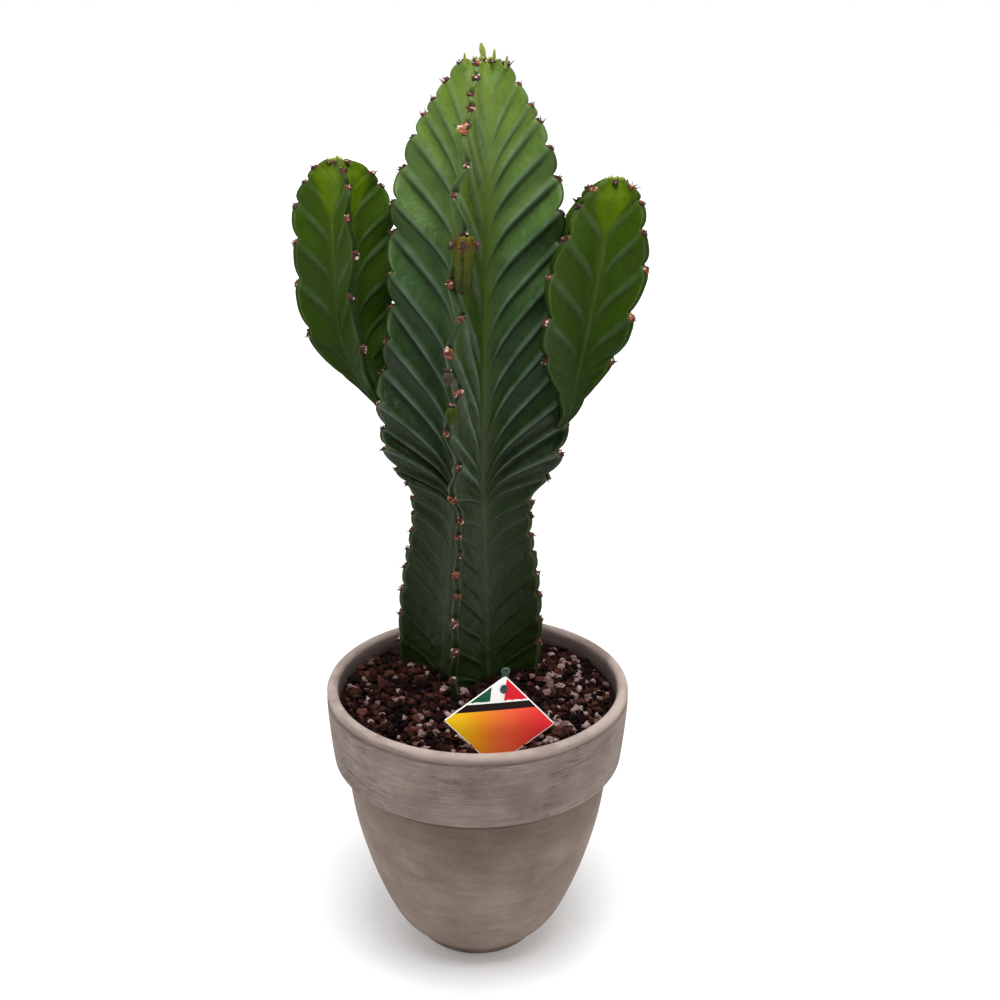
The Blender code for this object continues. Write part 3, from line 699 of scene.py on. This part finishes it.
RIGHT = WingedStem(
    wings=(-42.0, 48.0, 138.0, 228.0),
    axis=[(396, 56, 19), (408, 63, 18), (435, 67.2, 19), (460, 72, 20), (487, 76.5, 21), (564, 89, 21)],
    radius=[(396, 4.5), (408, 8), (422, 16.5), (435, 25), (450, 33), (463, 39.2), (478, 42.7), (505, 42.7),
            (530, 38), (547, 29.8), (556, 22.5), (561, 14), (564, 8)],
    groove=[(396, 3.5), (415, 7), (440, 10), (550, 10), (564, 5)],
    edge=[(396, 1.8), (440, 2.2), (564, 1.8)],
    notches=[(449.1, 481, 511.6, 534.4, 551.9, 559.9), (454, 483, 511, 533, 551, 559), (456, 485, 510, 533,
             550, 558), (451.1, 479, 507.5, 531.6, 549.7, 559)],
    depth=[(410, 1.5), (440, 5.2), (500, 5.2), (545, 4.2), (564, 2)],
    sway=[(420, 0), (450, 3), (530, 2), (555, 0.5)],
    fall=[(396, 0), (420, 8), (450, 24), (480, 40), (510, 44), (540, 36), (555, 20), (564, 3)],
    pleat=[(410, 0.5), (440, 1.8), (530, 1.4), (564, 0.3)],
    fresh=(524, 34, 7),
    seed=SEED + 2,
    lengths=(0.94, 1.0, 1.0, 1.19))

SHOOT = WingedStem(
    wings=(-100.0, -28.0, 44.0, 116.0, 188.0),
    axis=[(497, -9.2, -29), (512, -8.4, -34), (533, -7, -39.5)],
    radius=[(497, 4), (502, 5.8), (512, 6.6), (522, 7.8), (530, 8.8), (533, 6)],
    groove=[(497, 3), (512, 5.5), (529, 6), (533, 3.5)],
    edge=[(497, 1.4), (533, 1.6)],
    notches=[(512, 521, 529.5), (513, 522, 530), (511, 520.5, 529), (512, 521, 530), (512.5, 521.5, 529)],
    depth=[(500, 0.4), (533, 1.4)],
    sway=[(500, 0.3), (533, 0.4)],
    fall=[(497, 0), (512, 3), (533, 1)],
    pleat=[(500, 0.2), (533, 0.4)],
    fresh=(600, 8, 8),
    seed=SEED + 3)


def tip_of(stem, lift):
    """The middle of a stem's tip, or a point above it."""
    return Vector(stem.centre(stem.high)) + UP * lift


def add_stems():
    main_skin = green_skin("stem_skin", OLD_GREENS, 0.55, 0.10, (0.130, 0.230, 0.010), 0.25)
    young_skin = green_skin("branch_skin", YOUNG_GREENS, 0.22, 0.28, (0.082, 0.145, 0.001), 0.10)
    shoot_skin = green_skin("shoot_skin", SHOOT_GREENS, 0.0, 0.0, (0.080, 0.140, 0.001), 0.07)
    for side, stem, step, skin, node in (("main", MAIN, 0.00080, main_skin, "main_stem"),
                                         ("left", LEFT, 0.00065, young_skin, "left_branch"),
                                         ("right", RIGHT, 0.00065, young_skin, "right_branch")):
        name = f"stem_skin_{side}"
        add_piece(name, stem.mesh(name, step), skin, "stem_green", [node])
    shoot = SHOOT.mesh("shoot_skin", 0.0006, 3, 7)
    add_piece("shoot_skin", shoot, shoot_skin, "stem_green", ["side_shoot_upper"])
    return shoot_skin


# Areoles and spines


class Heap:
    """Collects many small solids into one mesh, with one number kept for each vertex."""

    def __init__(self):
        self.vertices, self.faces, self.numbers, self.count = [], [], [], 0

    def add(self, vertices, faces, numbers):
        self.vertices.append(vertices)
        self.faces.append(faces + self.count)
        self.numbers.append(np.broadcast_to(numbers, len(vertices)))
        self.count += len(vertices)

    def mesh(self, name, number_name):
        mesh = make_mesh(name, np.concatenate(self.vertices), [np.concatenate(self.faces)])
        store(mesh, number_name, np.concatenate(self.numbers))
        return mesh


def ball(subdivisions):
    """Points and triangles of a unit icosphere."""
    bm = bmesh.new()
    bmesh.ops.create_icosphere(bm, subdivisions=subdivisions, radius=1.0)
    points = np.array([vertex.co for vertex in bm.verts])
    faces = np.array([[vertex.index for vertex in face.verts] for face in bm.faces])
    bm.free()
    return points, faces


def rough(points, scale, amount, seed, ridges=0.0):
    """The points of a unit ball, moved in and out by noise, with finer pits where ridges are asked for."""
    shift = Vector((seed * 7.3, seed * 3.1, seed * 5.7))
    reach = []
    for point in points:
        place = Vector(point) * scale + shift
        pit = abs(noise.noise(place * 2.1)) + 0.6 * abs(noise.noise(place * 4.7))
        reach.append(1 + amount * noise.noise(place) - ridges * pit)
    return points * np.array(reach)[:, None]


def thorn(root, tip, width):
    """A slightly bent spine with a closed foot."""
    axis = (tip - root).normalized()
    side = axis.orthogonal().normalized()
    other = axis.cross(side)
    rings = []
    for share, thick in ((0.0, 1.0), (0.35, 0.72), (0.75, 0.36)):
        centre = root.lerp(tip, share) + side * (width * 0.5 * math.sin(math.pi * share))
        for turn in around(5):
            rings.append(centre + (side * math.cos(turn) + other * math.sin(turn)) * width * thick)
    return np.array(rings + [root, tip]), tube_triangles(3, 5)


class Areoles:
    """The corky pads, crumbs and spines of a stem."""

    def __init__(self, seed):
        self.draw = random.Random(seed)
        self.crusts, self.spines = Heap(), Heap()
        self.blobs = [rough(ball(2)[0], 1.8, 0.5, kind) for kind in range(8)]
        self.faces = ball(2)[1]

    def add_blob(self, middle, axes, half, tone):
        blob = self.draw.choice(self.blobs)
        self.crusts.add(np.array(middle) + (blob * half) @ np.array(axes), self.faces, tone)

    def add(self, middle, along, across, face, size, tone):
        """One areole: a low pad, a ring of crumbs with a pale fringe, and a few short spines."""
        draw, axes = self.draw, (along, across, face)
        self.add_blob(middle, axes, np.array([0.0030, 0.0026, 0.0011]) * size, tone + draw.uniform(-0.1, 0.1))
        for crumb in range(draw.randint(9, 13)):
            turn, way_out = draw.uniform(0, math.tau), draw.uniform(0.25, 1.0)
            offset = along * math.cos(turn) * 0.0029 + across * math.sin(turn) * 0.0027
            place = middle + (offset * way_out + face * (0.0011 - 0.0007 * way_out)) * size
            pale = draw.random() < (0.45 if way_out > 0.75 else 0.10)
            shade = draw.uniform(0.80, 1.0) if pale else tone + draw.uniform(-0.38, 0.22)
            half = draw.uniform(0.0004, 0.0010) * size
            self.add_blob(place, axes, np.array([half, half, half * 1.1]), min(max(shade, 0.0), 1.0))
        for spine in range(draw.randint(3, 5)):
            spread = draw.choice((-1, 1)) * draw.uniform(0.2, 0.9)
            lean = along * draw.uniform(-0.4, 0.8) + across * spread + face * draw.uniform(0.6, 1.0)
            root = middle + along * draw.uniform(-0.4, 0.7) * 0.003 * size + across * spread * 0.0015 * size
            length = draw.uniform(0.0026, 0.0052) * size
            self.spines.add(*thorn(root, root + lean.normalized() * length, 0.00055 * size), 0.5)

    def add_stem(self, stem, lowest, highest, size=1.0):
        for middle, along, across, face in stem.pads(lowest, highest):
            scale = size * self.draw.uniform(0.85, 1.15)
            self.add(middle, along, across, face, scale, self.draw.uniform(0.12, 0.44))

    def add_crown(self, tip, spread, count, size):
        """The cluster of young areoles round a growing tip."""
        for number in range(count):
            turn = math.tau * (number + self.draw.uniform(-0.25, 0.25)) / count
            outward = heading(turn)
            face = (UP + outward * 0.7).normalized()
            across = Vector((-outward.y, outward.x, 0))
            middle = tip + outward * spread * self.draw.uniform(0.5, 1.0) - UP * spread * 0.25
            self.add(middle, across.cross(face), across, face, size, self.draw.uniform(0.1, 0.4))

    def place(self, name, crust, horn):
        add_piece(f"{name}_areoles", self.crusts.mesh(f"{name}_areoles", "tone"), crust, "dried_bud")
        add_piece(f"{name}_spines", self.spines.mesh(f"{name}_spines", "tone"), horn, "dried_bud")


def add_all_areoles():
    crust, horn = areole_crust(), spine_horn()
    main = Areoles("main")
    main.add_stem(MAIN, 0.196, 0.6365)
    for height, size, tone in SCARS:
        for middle, along, across, face in MAIN.pads(height - SCAR_REACH, height + SCAR_REACH):
            if middle.y < -0.01:
                main.add(middle + face * 0.0008 * size, along, across, face, size, tone)
    main.add_stem(SHOOT, 0.527, 0.532, 0.95)
    for node in ("dried_bud", "side_shoot_lower"):
        low, high = corners(node)
        top = Vector(((low.x + high.x) / 2, (low.y + high.y) / 2 - 0.001, high.z - 0.0004))
        main.add(top, Vector((0, -1, 0)), Vector((1, 0, 0)), UP, 0.85, 0.12)
    main.add_crown(tip_of(MAIN, 0.0005), 0.0085, 8, 0.7)
    main.place("main", crust, horn)
    for name, stem, lowest, highest in (("left", LEFT, 0.436, 0.571), ("right", RIGHT, 0.430, 0.562)):
        branch = Areoles(name)
        branch.add_stem(stem, lowest, highest, 0.95)
        branch.add_crown(tip_of(stem, 0.0), 0.0085, 8, 0.75)
        branch.place(name, crust, horn)


def add_tip_growth(name, tip, spread, count, material):
    """Small yellow-green leaves and buds crowded at a growing tip."""
    draw = random.Random(name)
    heap = Heap()
    points, faces = ball(2)
    for number in range(count):
        turn, way_out = draw.uniform(0, math.tau), math.sqrt(draw.random())
        outward = heading(turn)
        axis = (UP + outward * 0.5 * way_out).normalized()
        across = axis.orthogonal().normalized()
        half = [draw.uniform(*sizes) for sizes in ((0.0008, 0.0014), (0.0006, 0.0010), (0.0014, 0.0026))]
        middle = tip + outward * spread * way_out - UP * (0.0006 + 0.0020 * way_out)
        taper = 1 - 0.55 * np.clip(points[:, 2:], 0, 1)
        shape = points * half * np.hstack([taper, taper, np.ones_like(taper)])
        axes = np.array((across, axis.cross(across), axis))
        heap.add(np.array(middle) + shape @ axes, faces, draw.random())
    add_piece(name, heap.mesh(name, "tone"), material, "leaf_green")


def leaf_points(number, rows, columns):
    """Rings of points up the leaf's blade, which tapers and curls, and then its two ends."""
    low, high = corners(f"tip_leaf_{number}")
    middle = (low + high) / 2
    half_width, half_depth = (high.x - low.x) / 2, (high.y - low.y) / 2
    length, widest = (0.0135, 0.0022) if number == 1 else (0.0080, 0.0012)
    foot = max(low.z - 0.0035, high.z - length)
    lean = 1 if number in (2, 3) else -1
    points = []
    for share in np.linspace(0, 1, rows):
        breadth = math.sin(math.pi * min(0.12 + 0.88 * share, 1.0)) ** 0.6 * (1 - 0.25 * share) + 0.03
        wide = min(half_width, widest) * breadth
        centre = Vector((middle.x + lean * (share - 0.5) * max(0.0, half_width - 0.0012) * 1.6,
                         middle.y - (share - 0.5) * half_depth, foot + (high.z - foot) * share))
        for turn in around(columns):
            deep = 0.0006 * (breadth * math.sin(turn) - math.cos(turn) ** 2)
            points.append(centre + Vector((wide * math.cos(turn), deep, 0)))
    foot, tip = points[0].lerp(points[columns // 2], 0.5), points[-1].lerp(points[-1 - columns // 2], 0.5)
    return points + [foot, tip]


def add_young_leaves():
    """The four leaves at the tip, and the buds round them and on the branches."""
    material = young_leaf()
    rows, columns = 22, 14
    for number in range(1, 5):
        name = f"young_leaf_{number}"
        mesh = make_mesh(name, np.array(leaf_points(number, rows, columns)), tube_faces(rows, columns))
        add_piece(name, mesh, material, "leaf_green", [f"tip_leaf_{number}"])
    for name, stem, count in (("main", MAIN, 18), ("left", LEFT, 16), ("right", RIGHT, 16)):
        add_tip_growth(f"tip_growth_{name}", tip_of(stem, 0.0015), 0.0065, count, material)


def add_nubs(shoot_skin):
    """The dried bud and the small green shoot on the front rib."""
    points, faces = ball(4)
    level = np.ones(len(points))
    for node, name, material, slot in (("dried_bud", "withered_bud", dry_husk(), "dried_bud"),
                                       ("side_shoot_lower", "small_shoot", shoot_skin, "stem_green")):
        low, high = (np.array(corner) for corner in corners(node))
        furrows = 1 + 0.10 * np.sin(7 * np.arctan2(points[:, 1], points[:, 0])) * (1 - points[:, 2] ** 2)
        wider = furrows * (1 + 0.22 * points[:, 2])
        shape = rough(points, 1.6, 0.35, 3) * np.stack([wider, wider, level], -1)
        mesh = make_mesh(name, (low + high) / 2 + shape * (high - low) / 2 * 0.96, [faces])
        for key in ("ridge", "crease", "olive", "age", "fresh", "vein", "face", "rim"):
            store(mesh, key, {"age": 0.1, "olive": 0.3, "fresh": 0.1}.get(key, 0.0) * level)
        add_piece(name, mesh, material, slot, [node])


# Pot, soil and gravel


def arc(centre, radius, start, end, count):
    angles = np.radians(np.linspace(start, end, count))
    return [(centre[0] + radius * math.cos(a), centre[1] + radius * math.sin(a)) for a in angles]


RIM = (POT_HIGH[0] - POT_LOW[0]) / 2
RIM_TOP = POT_HIGH[2]
BAND_FOOT = 0.1516  # height of the rim band's lower edge
LIP_GROOVE = 0.2014  # height of the fine groove under the lip
DRAIN_RING, DRAIN_RADIUS = 0.022, 0.0055
WALL_POINTS = 18  # of the profile, up the inside
INNER_ROWS = WALL_POINTS + 4  # how far up the profile is the pot's inside
POT_BODY = [(0.004, 0.0468), (0.020, 0.0625), (0.038, 0.0715), (0.076, 0.0847), (0.114, 0.0935),
            (BAND_FOOT, 0.0979)]
POT_INSIDE = [(0.010, 0.040), (0.020, 0.052), (0.038, 0.064), (0.076, 0.077), (0.114, 0.086), (0.150, 0.091)]


def pot_profile():
    """(radius, height) points from the floor's middle inside, over the lip and down to the middle below."""
    inside = [(float(eased(POT_INSIDE, z)), z) for z in np.linspace(0.010, 0.150, WALL_POINTS)]
    neck = [(0.0935, 0.1540), (0.0975, 0.1590), (0.1000, 0.1750), (0.1012, 0.1950)]
    lip = arc((RIM - 0.0040, RIM_TOP - 0.0040), 0.0040, 180, 12, 12)
    ring = [(RIM - 0.0002, 0.2036), (RIM - 0.0009, 0.2028), (RIM - 0.0010, 0.2022),
            (RIM - 0.0003, LIP_GROOVE), (RIM, 0.2004)]
    band = [(RIM - 0.0034 * ((0.198 - z) / 0.042) ** 1.4, z) for z in np.linspace(0.198, 0.158, 9)]
    foot = arc((RIM - 0.0064, BAND_FOOT + 0.0030), 0.0028, 0, -90, 7)
    corner = [(0.1000, BAND_FOOT + 0.0003), (0.0972, BAND_FOOT + 0.0005), (0.0966, BAND_FOOT - 0.0004),
              (0.0971, BAND_FOOT - 0.0018)]
    body = [(float(eased(POT_BODY, z)), z) for z in np.linspace(BAND_FOOT - 0.004, 0.006, 40)]
    base = arc((0.0446, 0.0030), 0.0030, 0, -90, 6)
    return [(0.0, 0.010)] + inside + neck + lip + ring + band + foot + corner + body + base + [(0.0, 0.0)]


def lathe(name, profile, steps, inner):
    """Turns a profile whose ends lie on the axis, and marks the rows up to the inner one as the inside."""
    ring = np.array(profile[1:-1])
    turn = around(steps)
    radius, height = ring[:, :1], ring[:, 1:] * np.ones(steps)
    waver = 1 + 0.0010 * np.sin(2 * turn + 0.7) + 0.0006 * np.sin(3 * turn)
    points = np.stack([radius * waver * np.cos(turn), radius * waver * np.sin(turn), height], -1)
    ends = [(0, 0, profile[0][1]), (0, 0, profile[-1][1])]
    mesh = make_mesh(name, np.concatenate([points.reshape(-1, 3), ends]), tube_faces(len(ring), steps, True))
    # The inner mark is used to paint shade inside the pot
    store(mesh, "inner", np.concatenate([np.repeat(np.arange(len(ring)) < inner, steps), (1, 0)]))
    return mesh


def add_pot(material):
    """The turned pot, with three drain holes cut through its floor."""
    mesh = lathe("clay_pot", pot_profile(), 192, INNER_ROWS)
    pot = add_piece("clay_pot", mesh, material, "grey_clay", ["pot"])
    mesh.set_sharp_from_angle(angle=math.radians(60))
    bm = bmesh.new()
    for turn in around(3):
        place = Matrix.Translation(heading(turn) * DRAIN_RING + UP * 0.005)
        bmesh.ops.create_cone(bm, cap_ends=True, segments=32, radius1=DRAIN_RADIUS, radius2=DRAIN_RADIUS,
                              depth=0.03, matrix=place)
    cutter = add_object("drain_cutters", bpy.data.meshes.new("drain_cutters"))
    bm.to_mesh(cutter.data)
    bm.free()
    cut = pot.modifiers.new("drain holes", "BOOLEAN")
    cut.object = cutter
    bpy.context.view_layer.update()
    evaluated = pot.evaluated_get(bpy.context.evaluated_depsgraph_get())
    pot.data = bpy.data.meshes.new_from_object(evaluated)
    pot.modifiers.clear()
    bpy.data.objects.remove(cutter, do_unlink=True)


# The gravel: how deep it dips in front of the card, the grid of its chips, and the layers of them
CARD_SCOOP = 0.0065
GRID_REACH = 0.105
GRAVEL_LAYERS = [(0.0052, 0.0026, 0.0042, 0.0), (0.0060, 0.0018, 0.0038, 0.0026)]  # spacing, sizes and lift


def inside_outline(outline, x, y):
    """Whether a point lies inside a closed outline."""
    ax, ay = outline[:, 0], outline[:, 1]
    bx, by = np.roll(ax, -1), np.roll(ay, -1)
    crosses = (ay > y) != (by > y)
    with np.errstate(divide="ignore", invalid="ignore"):
        at = ax + (y - ay) * (bx - ax) / (by - ay)
    return np.count_nonzero(crosses & (x < at)) % 2 == 1


def gravel_level(x, y):
    """Height of the gravel's surface in the CAD layer, which is crowned round the stem."""
    distance = math.hypot(x, y)
    return float(np.interp(distance, (0.062, 0.088, 0.101), (GRAVEL_HIGH[2], 0.1965, 0.1955)))


def near_label(x, y):
    """Whether a chip here would cut the card or its stake, or stand in front of it."""
    local = CARD_PLACE.inverted() @ Vector((x, y, gravel_level(x, y)))
    half_width = max(0.0, local.z + CARD_REACH)
    return local.y < 0.0052 and abs(local.x) < half_width + 0.002


def add_bed(material):
    """The gravel between the loose chips: crumbs down to the soil, scooped out in front of the card."""
    rows, steps = 64, 240
    floor = GRAVEL_LOW[2]
    vertices, tones = [], []
    for radius in np.linspace(0.0016, GRAVEL_HIGH[0] - 0.0003, rows):
        for turn in around(steps):
            x, y = radius * math.cos(turn), radius * math.sin(turn)
            place = Vector((x, y, 0.0))
            crumb = noise.noise(place * 330) + 0.6 * noise.noise(place * 800)
            scoop = CARD_SCOOP if near_label(x, y) and radius > 0.060 else 0.0
            vertices.append((x, y, gravel_level(x, y) + 0.0013 * crumb - 0.0004 - scoop))
            tones.append(0.30 + 0.35 * noise.noise(place * 260))
    vertices += [(x, y, floor) for x, y, z in vertices[-steps:]]
    vertices += [(0, 0, vertices[0][2]), (0, 0, floor)]
    tones += [0.3] * (steps + 2)
    mesh = make_mesh("gravel_bed", np.array(vertices), tube_faces(rows + 1, steps, True), smooth=False)
    store(mesh, "tone", np.array(tones))
    add_piece("gravel_bed", mesh, material, "lava_gravel", ["lava_gravel"])


def chip_spots(draw, spacing):
    """Places on a loose triangular grid over the pot."""
    row_height = spacing * math.sqrt(3) / 2
    rows, steps = int(GRID_REACH / row_height), int(GRID_REACH / spacing)
    for row in range(-rows, rows + 1):
        for step in range(-steps, steps + 1):
            x = (step + 0.5 * (row % 2)) * spacing + draw.uniform(-0.38, 0.38) * spacing
            yield x, row * row_height + draw.uniform(-0.38, 0.38) * spacing


def chip_tone(draw, x, y):
    """Pale chips gather in front of the stem and on its right."""
    near = math.exp(-((x - 0.012) ** 2 + (y + 0.055) ** 2) / 0.030 ** 2)
    pale = 0.08 + 0.34 * near + (0.12 if x > 0.05 else 0)
    return draw.uniform(0.82, 0.97) if draw.random() < pale else draw.uniform(0.0, 0.80) ** 1.1


def add_gravel(material):
    """Loose chips in two layers over the bed. Few of the lower layer show, so its chips have fewer faces."""
    draw = random.Random(SEED)
    kinds = [[(rough(points, 1.4, 0.75, kind, 0.34), faces) for kind in range(14)]
             for points, faces in (ball(2), ball(3))]
    section = MAIN.outline(0.2025)
    middle = section.mean(axis=0)
    grown = middle + (section - middle) * 1.035
    reach = GRAVEL_HIGH[0] - 0.0024
    heaps = [[Heap() for part in range(2)], [Heap() for part in range(9)]]
    for layer, (spacing, small, large, lift) in enumerate(GRAVEL_LAYERS):
        for x, y in chip_spots(draw, spacing):
            size = draw.uniform(small, large) * (1.25 if draw.random() < 0.08 else 1.0)
            spin = Matrix.Rotation(draw.uniform(0, 6.28), 3, "Z")
            spin = spin @ Matrix.Rotation(draw.uniform(0, 6.28), 3, "X")
            squash = np.array([1.0, draw.uniform(0.68, 0.95), draw.uniform(0.55, 0.85)])
            shape, faces = draw.choice(kinds[layer])
            tone = chip_tone(draw, x, y)
            up = lift + draw.uniform(-0.0010, 0.0014)
            if math.hypot(x, y) > reach - size * 0.7 or inside_outline(grown, x, y) or near_label(x, y):
                continue
            place = np.array([x, y, gravel_level(x, y) + up])
            draw.choice(heaps[layer]).add((shape * squash * size) @ np.array(spin).T + place, faces, tone)
    for number, heap in enumerate(heaps[0] + heaps[1], start=1):
        name = f"gravel_chips_{number}"
        add_piece(name, heap.mesh(name, "tone"), material, "lava_gravel")


# Label


def card_outline():
    """(across, up) points round the card: a square standing on a corner, with its corners rounded."""
    reach = CARD_REACH - CARD_CORNER * math.sqrt(2)
    points = []
    for quarter in range(4):
        middle = heading(quarter * math.pi / 2) * reach
        points += arc(middle, CARD_CORNER, quarter * 90 - 45, quarter * 90 + 45, 6)
    return points


def add_label():
    """The printed card, with a hole for the stake's peg."""
    bm = bmesh.new()
    hole = arc((0.0, PEG_HEIGHT), PEG_HOLE, 0, 345, 24)
    for loop in (card_outline(), hole):
        ring = [bm.verts.new((x, -CARD_THICKNESS / 2, z)) for x, z in loop]
        for first, second in zip(ring, ring[1:] + ring[:1]):
            bm.edges.new((first, second))
    bmesh.ops.triangle_fill(bm, use_beauty=True, edges=bm.edges[:])
    grown = bmesh.ops.extrude_face_region(bm, geom=bm.faces[:])
    for item in grown["geom"]:
        if isinstance(item, bmesh.types.BMVert):
            item.co.y += CARD_THICKNESS
    bmesh.ops.recalc_face_normals(bm, faces=bm.faces[:])
    mesh = bpy.data.meshes.new("printed_card")
    bm.to_mesh(mesh)
    bm.free()
    places = np.empty(len(mesh.vertices) * 3, np.float32)
    mesh.vertices.foreach_get("co", places)
    places = places.reshape(-1, 3)
    store(mesh, "across", places[:, 0])
    store(mesh, "up", places[:, 2])
    places[:, 1] += CARD_BOW * (places[:, 0] / CARD_SIDE) ** 2
    mesh.vertices.foreach_set("co", places.ravel())
    mesh.transform(CARD_PLACE)
    mesh.update()
    add_piece("printed_card", mesh, card_print(), "label_card", ["label_card"])


def add_stake(material):
    """The moulded stake behind the card: a flat blade with a round head, and a peg whose knob holds it."""
    points, faces = ball(4)
    turn = around(STAKE_SIDES)
    rows = []
    for height, half_width, half_depth in STAKE_ROWS:
        across = half_width * np.sign(np.cos(turn)) * np.abs(np.cos(turn)) ** 0.6
        into = half_depth * np.sign(np.sin(turn)) * np.abs(np.sin(turn)) ** 0.6
        rows.append(np.stack([across, into + STAKE_DEPTH, np.full(STAKE_SIDES, height)], -1))
    ends = [(0, STAKE_DEPTH, STAKE_ROWS[0][0]), (0, STAKE_DEPTH, STAKE_ROWS[-1][0])]
    heap = Heap()
    heap.add(np.concatenate(rows + [ends]), tube_triangles(len(rows), STAKE_SIDES), 0.5)
    for half, place in (((0.0030, 0.0023, 0.0034), (0, STAKE_DEPTH, STAKE_TOP - 0.0034)),  # head
                        ((0.0026, 0.0011, 0.0034), (0, -0.0012, PEG_HEIGHT)),  # knob
                        ((0.0018, 0.0016, 0.0018), (0, 0.0006, PEG_HEIGHT))):  # peg
        heap.add(points * half + place, faces, 0.5)
    mesh = heap.mesh("moulded_stake", "tone")
    mesh.transform(CARD_PLACE)
    add_piece("moulded_stake", mesh, material, "label_stake", ["label_stake"])


# Studio

EYE = (0.0152, -0.8, 0.6304)
LENS = 43.84  # millimetres, on a sensor 36 mm wide
LOOK_DOWN, ROLL = 19.46, 0.44  # degrees


def add_floor():
    """A wide pale floor."""
    mesh = make_mesh("studio_floor", [(-9, -4, 0), (9, -4, 0), (9, 14, 0), (-9, 14, 0)], [[(0, 1, 2, 3)]])
    floor = add_object("studio_floor", mesh)
    mesh.materials.append(studio_floor())


def add_light(name, place, target, size, power):
    light = bpy.data.lights.new(name, "AREA")
    light.shape = "RECTANGLE"
    light.size, light.size_y = size
    light.energy = power
    lamp = add_object(name, light)
    lamp.location = place
    lamp.rotation_euler = (Vector(target) - Vector(place)).to_track_quat("-Z", "Y").to_euler()


def add_sky():
    """White behind the object, darker overhead and at its sides, and dim in front."""
    world = bpy.data.worlds.new("studio_sky")
    world.use_nodes = True
    tree = world.node_tree
    direction = tree.nodes.new("ShaderNodeTexCoord")
    axes = tree.nodes.new("ShaderNodeSeparateXYZ")
    tree.links.new(direction.outputs["Generated"], axes.inputs[0])
    ahead = tree.nodes.new("ShaderNodeMapRange")
    ahead.interpolation_type = "SMOOTHSTEP"
    tree.links.new(axes.outputs["Y"], ahead.inputs["Value"])
    for key, value in {"From Min": -0.40, "From Max": 0.55, "To Min": 0.08, "To Max": 1.0}.items():
        ahead.inputs[key].default_value = value
    background = tree.nodes["Background"]
    background.inputs["Color"].default_value = (1.0, 1.0, 1.0, 1.0)
    tree.links.new(ahead.outputs["Result"], background.inputs["Strength"])
    bpy.context.scene.world = world


def add_studio():
    """A floor, four soft lights turned to the plant's middle, and the sky."""
    add_floor()
    middle = (0.0, 0.0, 0.35)
    add_light("softbox_top", (0.05, -0.35, 1.70), middle, (0.8, 0.8), 27.0)
    add_light("softbox_left", (-1.35, -0.15, 0.75), middle, (0.6, 1.2), 6.0)
    add_light("softbox_right", (1.35, -0.15, 0.75), middle, (0.6, 1.2), 6.0)
    add_light("softbox_front", (0.1, -1.9, 1.3), middle, (1.2, 0.8), 3.0)
    add_sky()
    bpy.context.scene.view_settings.view_transform = "Standard"


def add_camera():
    """A camera just above the plant's middle, which looks down on it."""
    camera = bpy.data.cameras.new("camera")
    camera.lens = LENS
    camera.sensor_width = 36.0
    eye = add_object("camera", camera)
    eye.matrix_world = (Matrix.Translation(EYE) @ Matrix.Rotation(math.radians(90 - LOOK_DOWN), 4, "X")
                        @ Matrix.Rotation(math.radians(ROLL), 4, "Z"))
    bpy.context.scene.camera = eye


def build():
    shoot_skin = add_stems()
    add_all_areoles()
    add_young_leaves()
    add_nubs(shoot_skin)
    add_pot(clay())
    rock = lava_rock()
    add_bed(rock)
    add_gravel(rock)
    add_label()
    add_stake(stake_plastic())
    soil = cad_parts["potting_soil"]
    soil.data.materials.clear()
    soil.data.materials.append(soil_crumbs())
    add_studio()
    add_camera()


build()
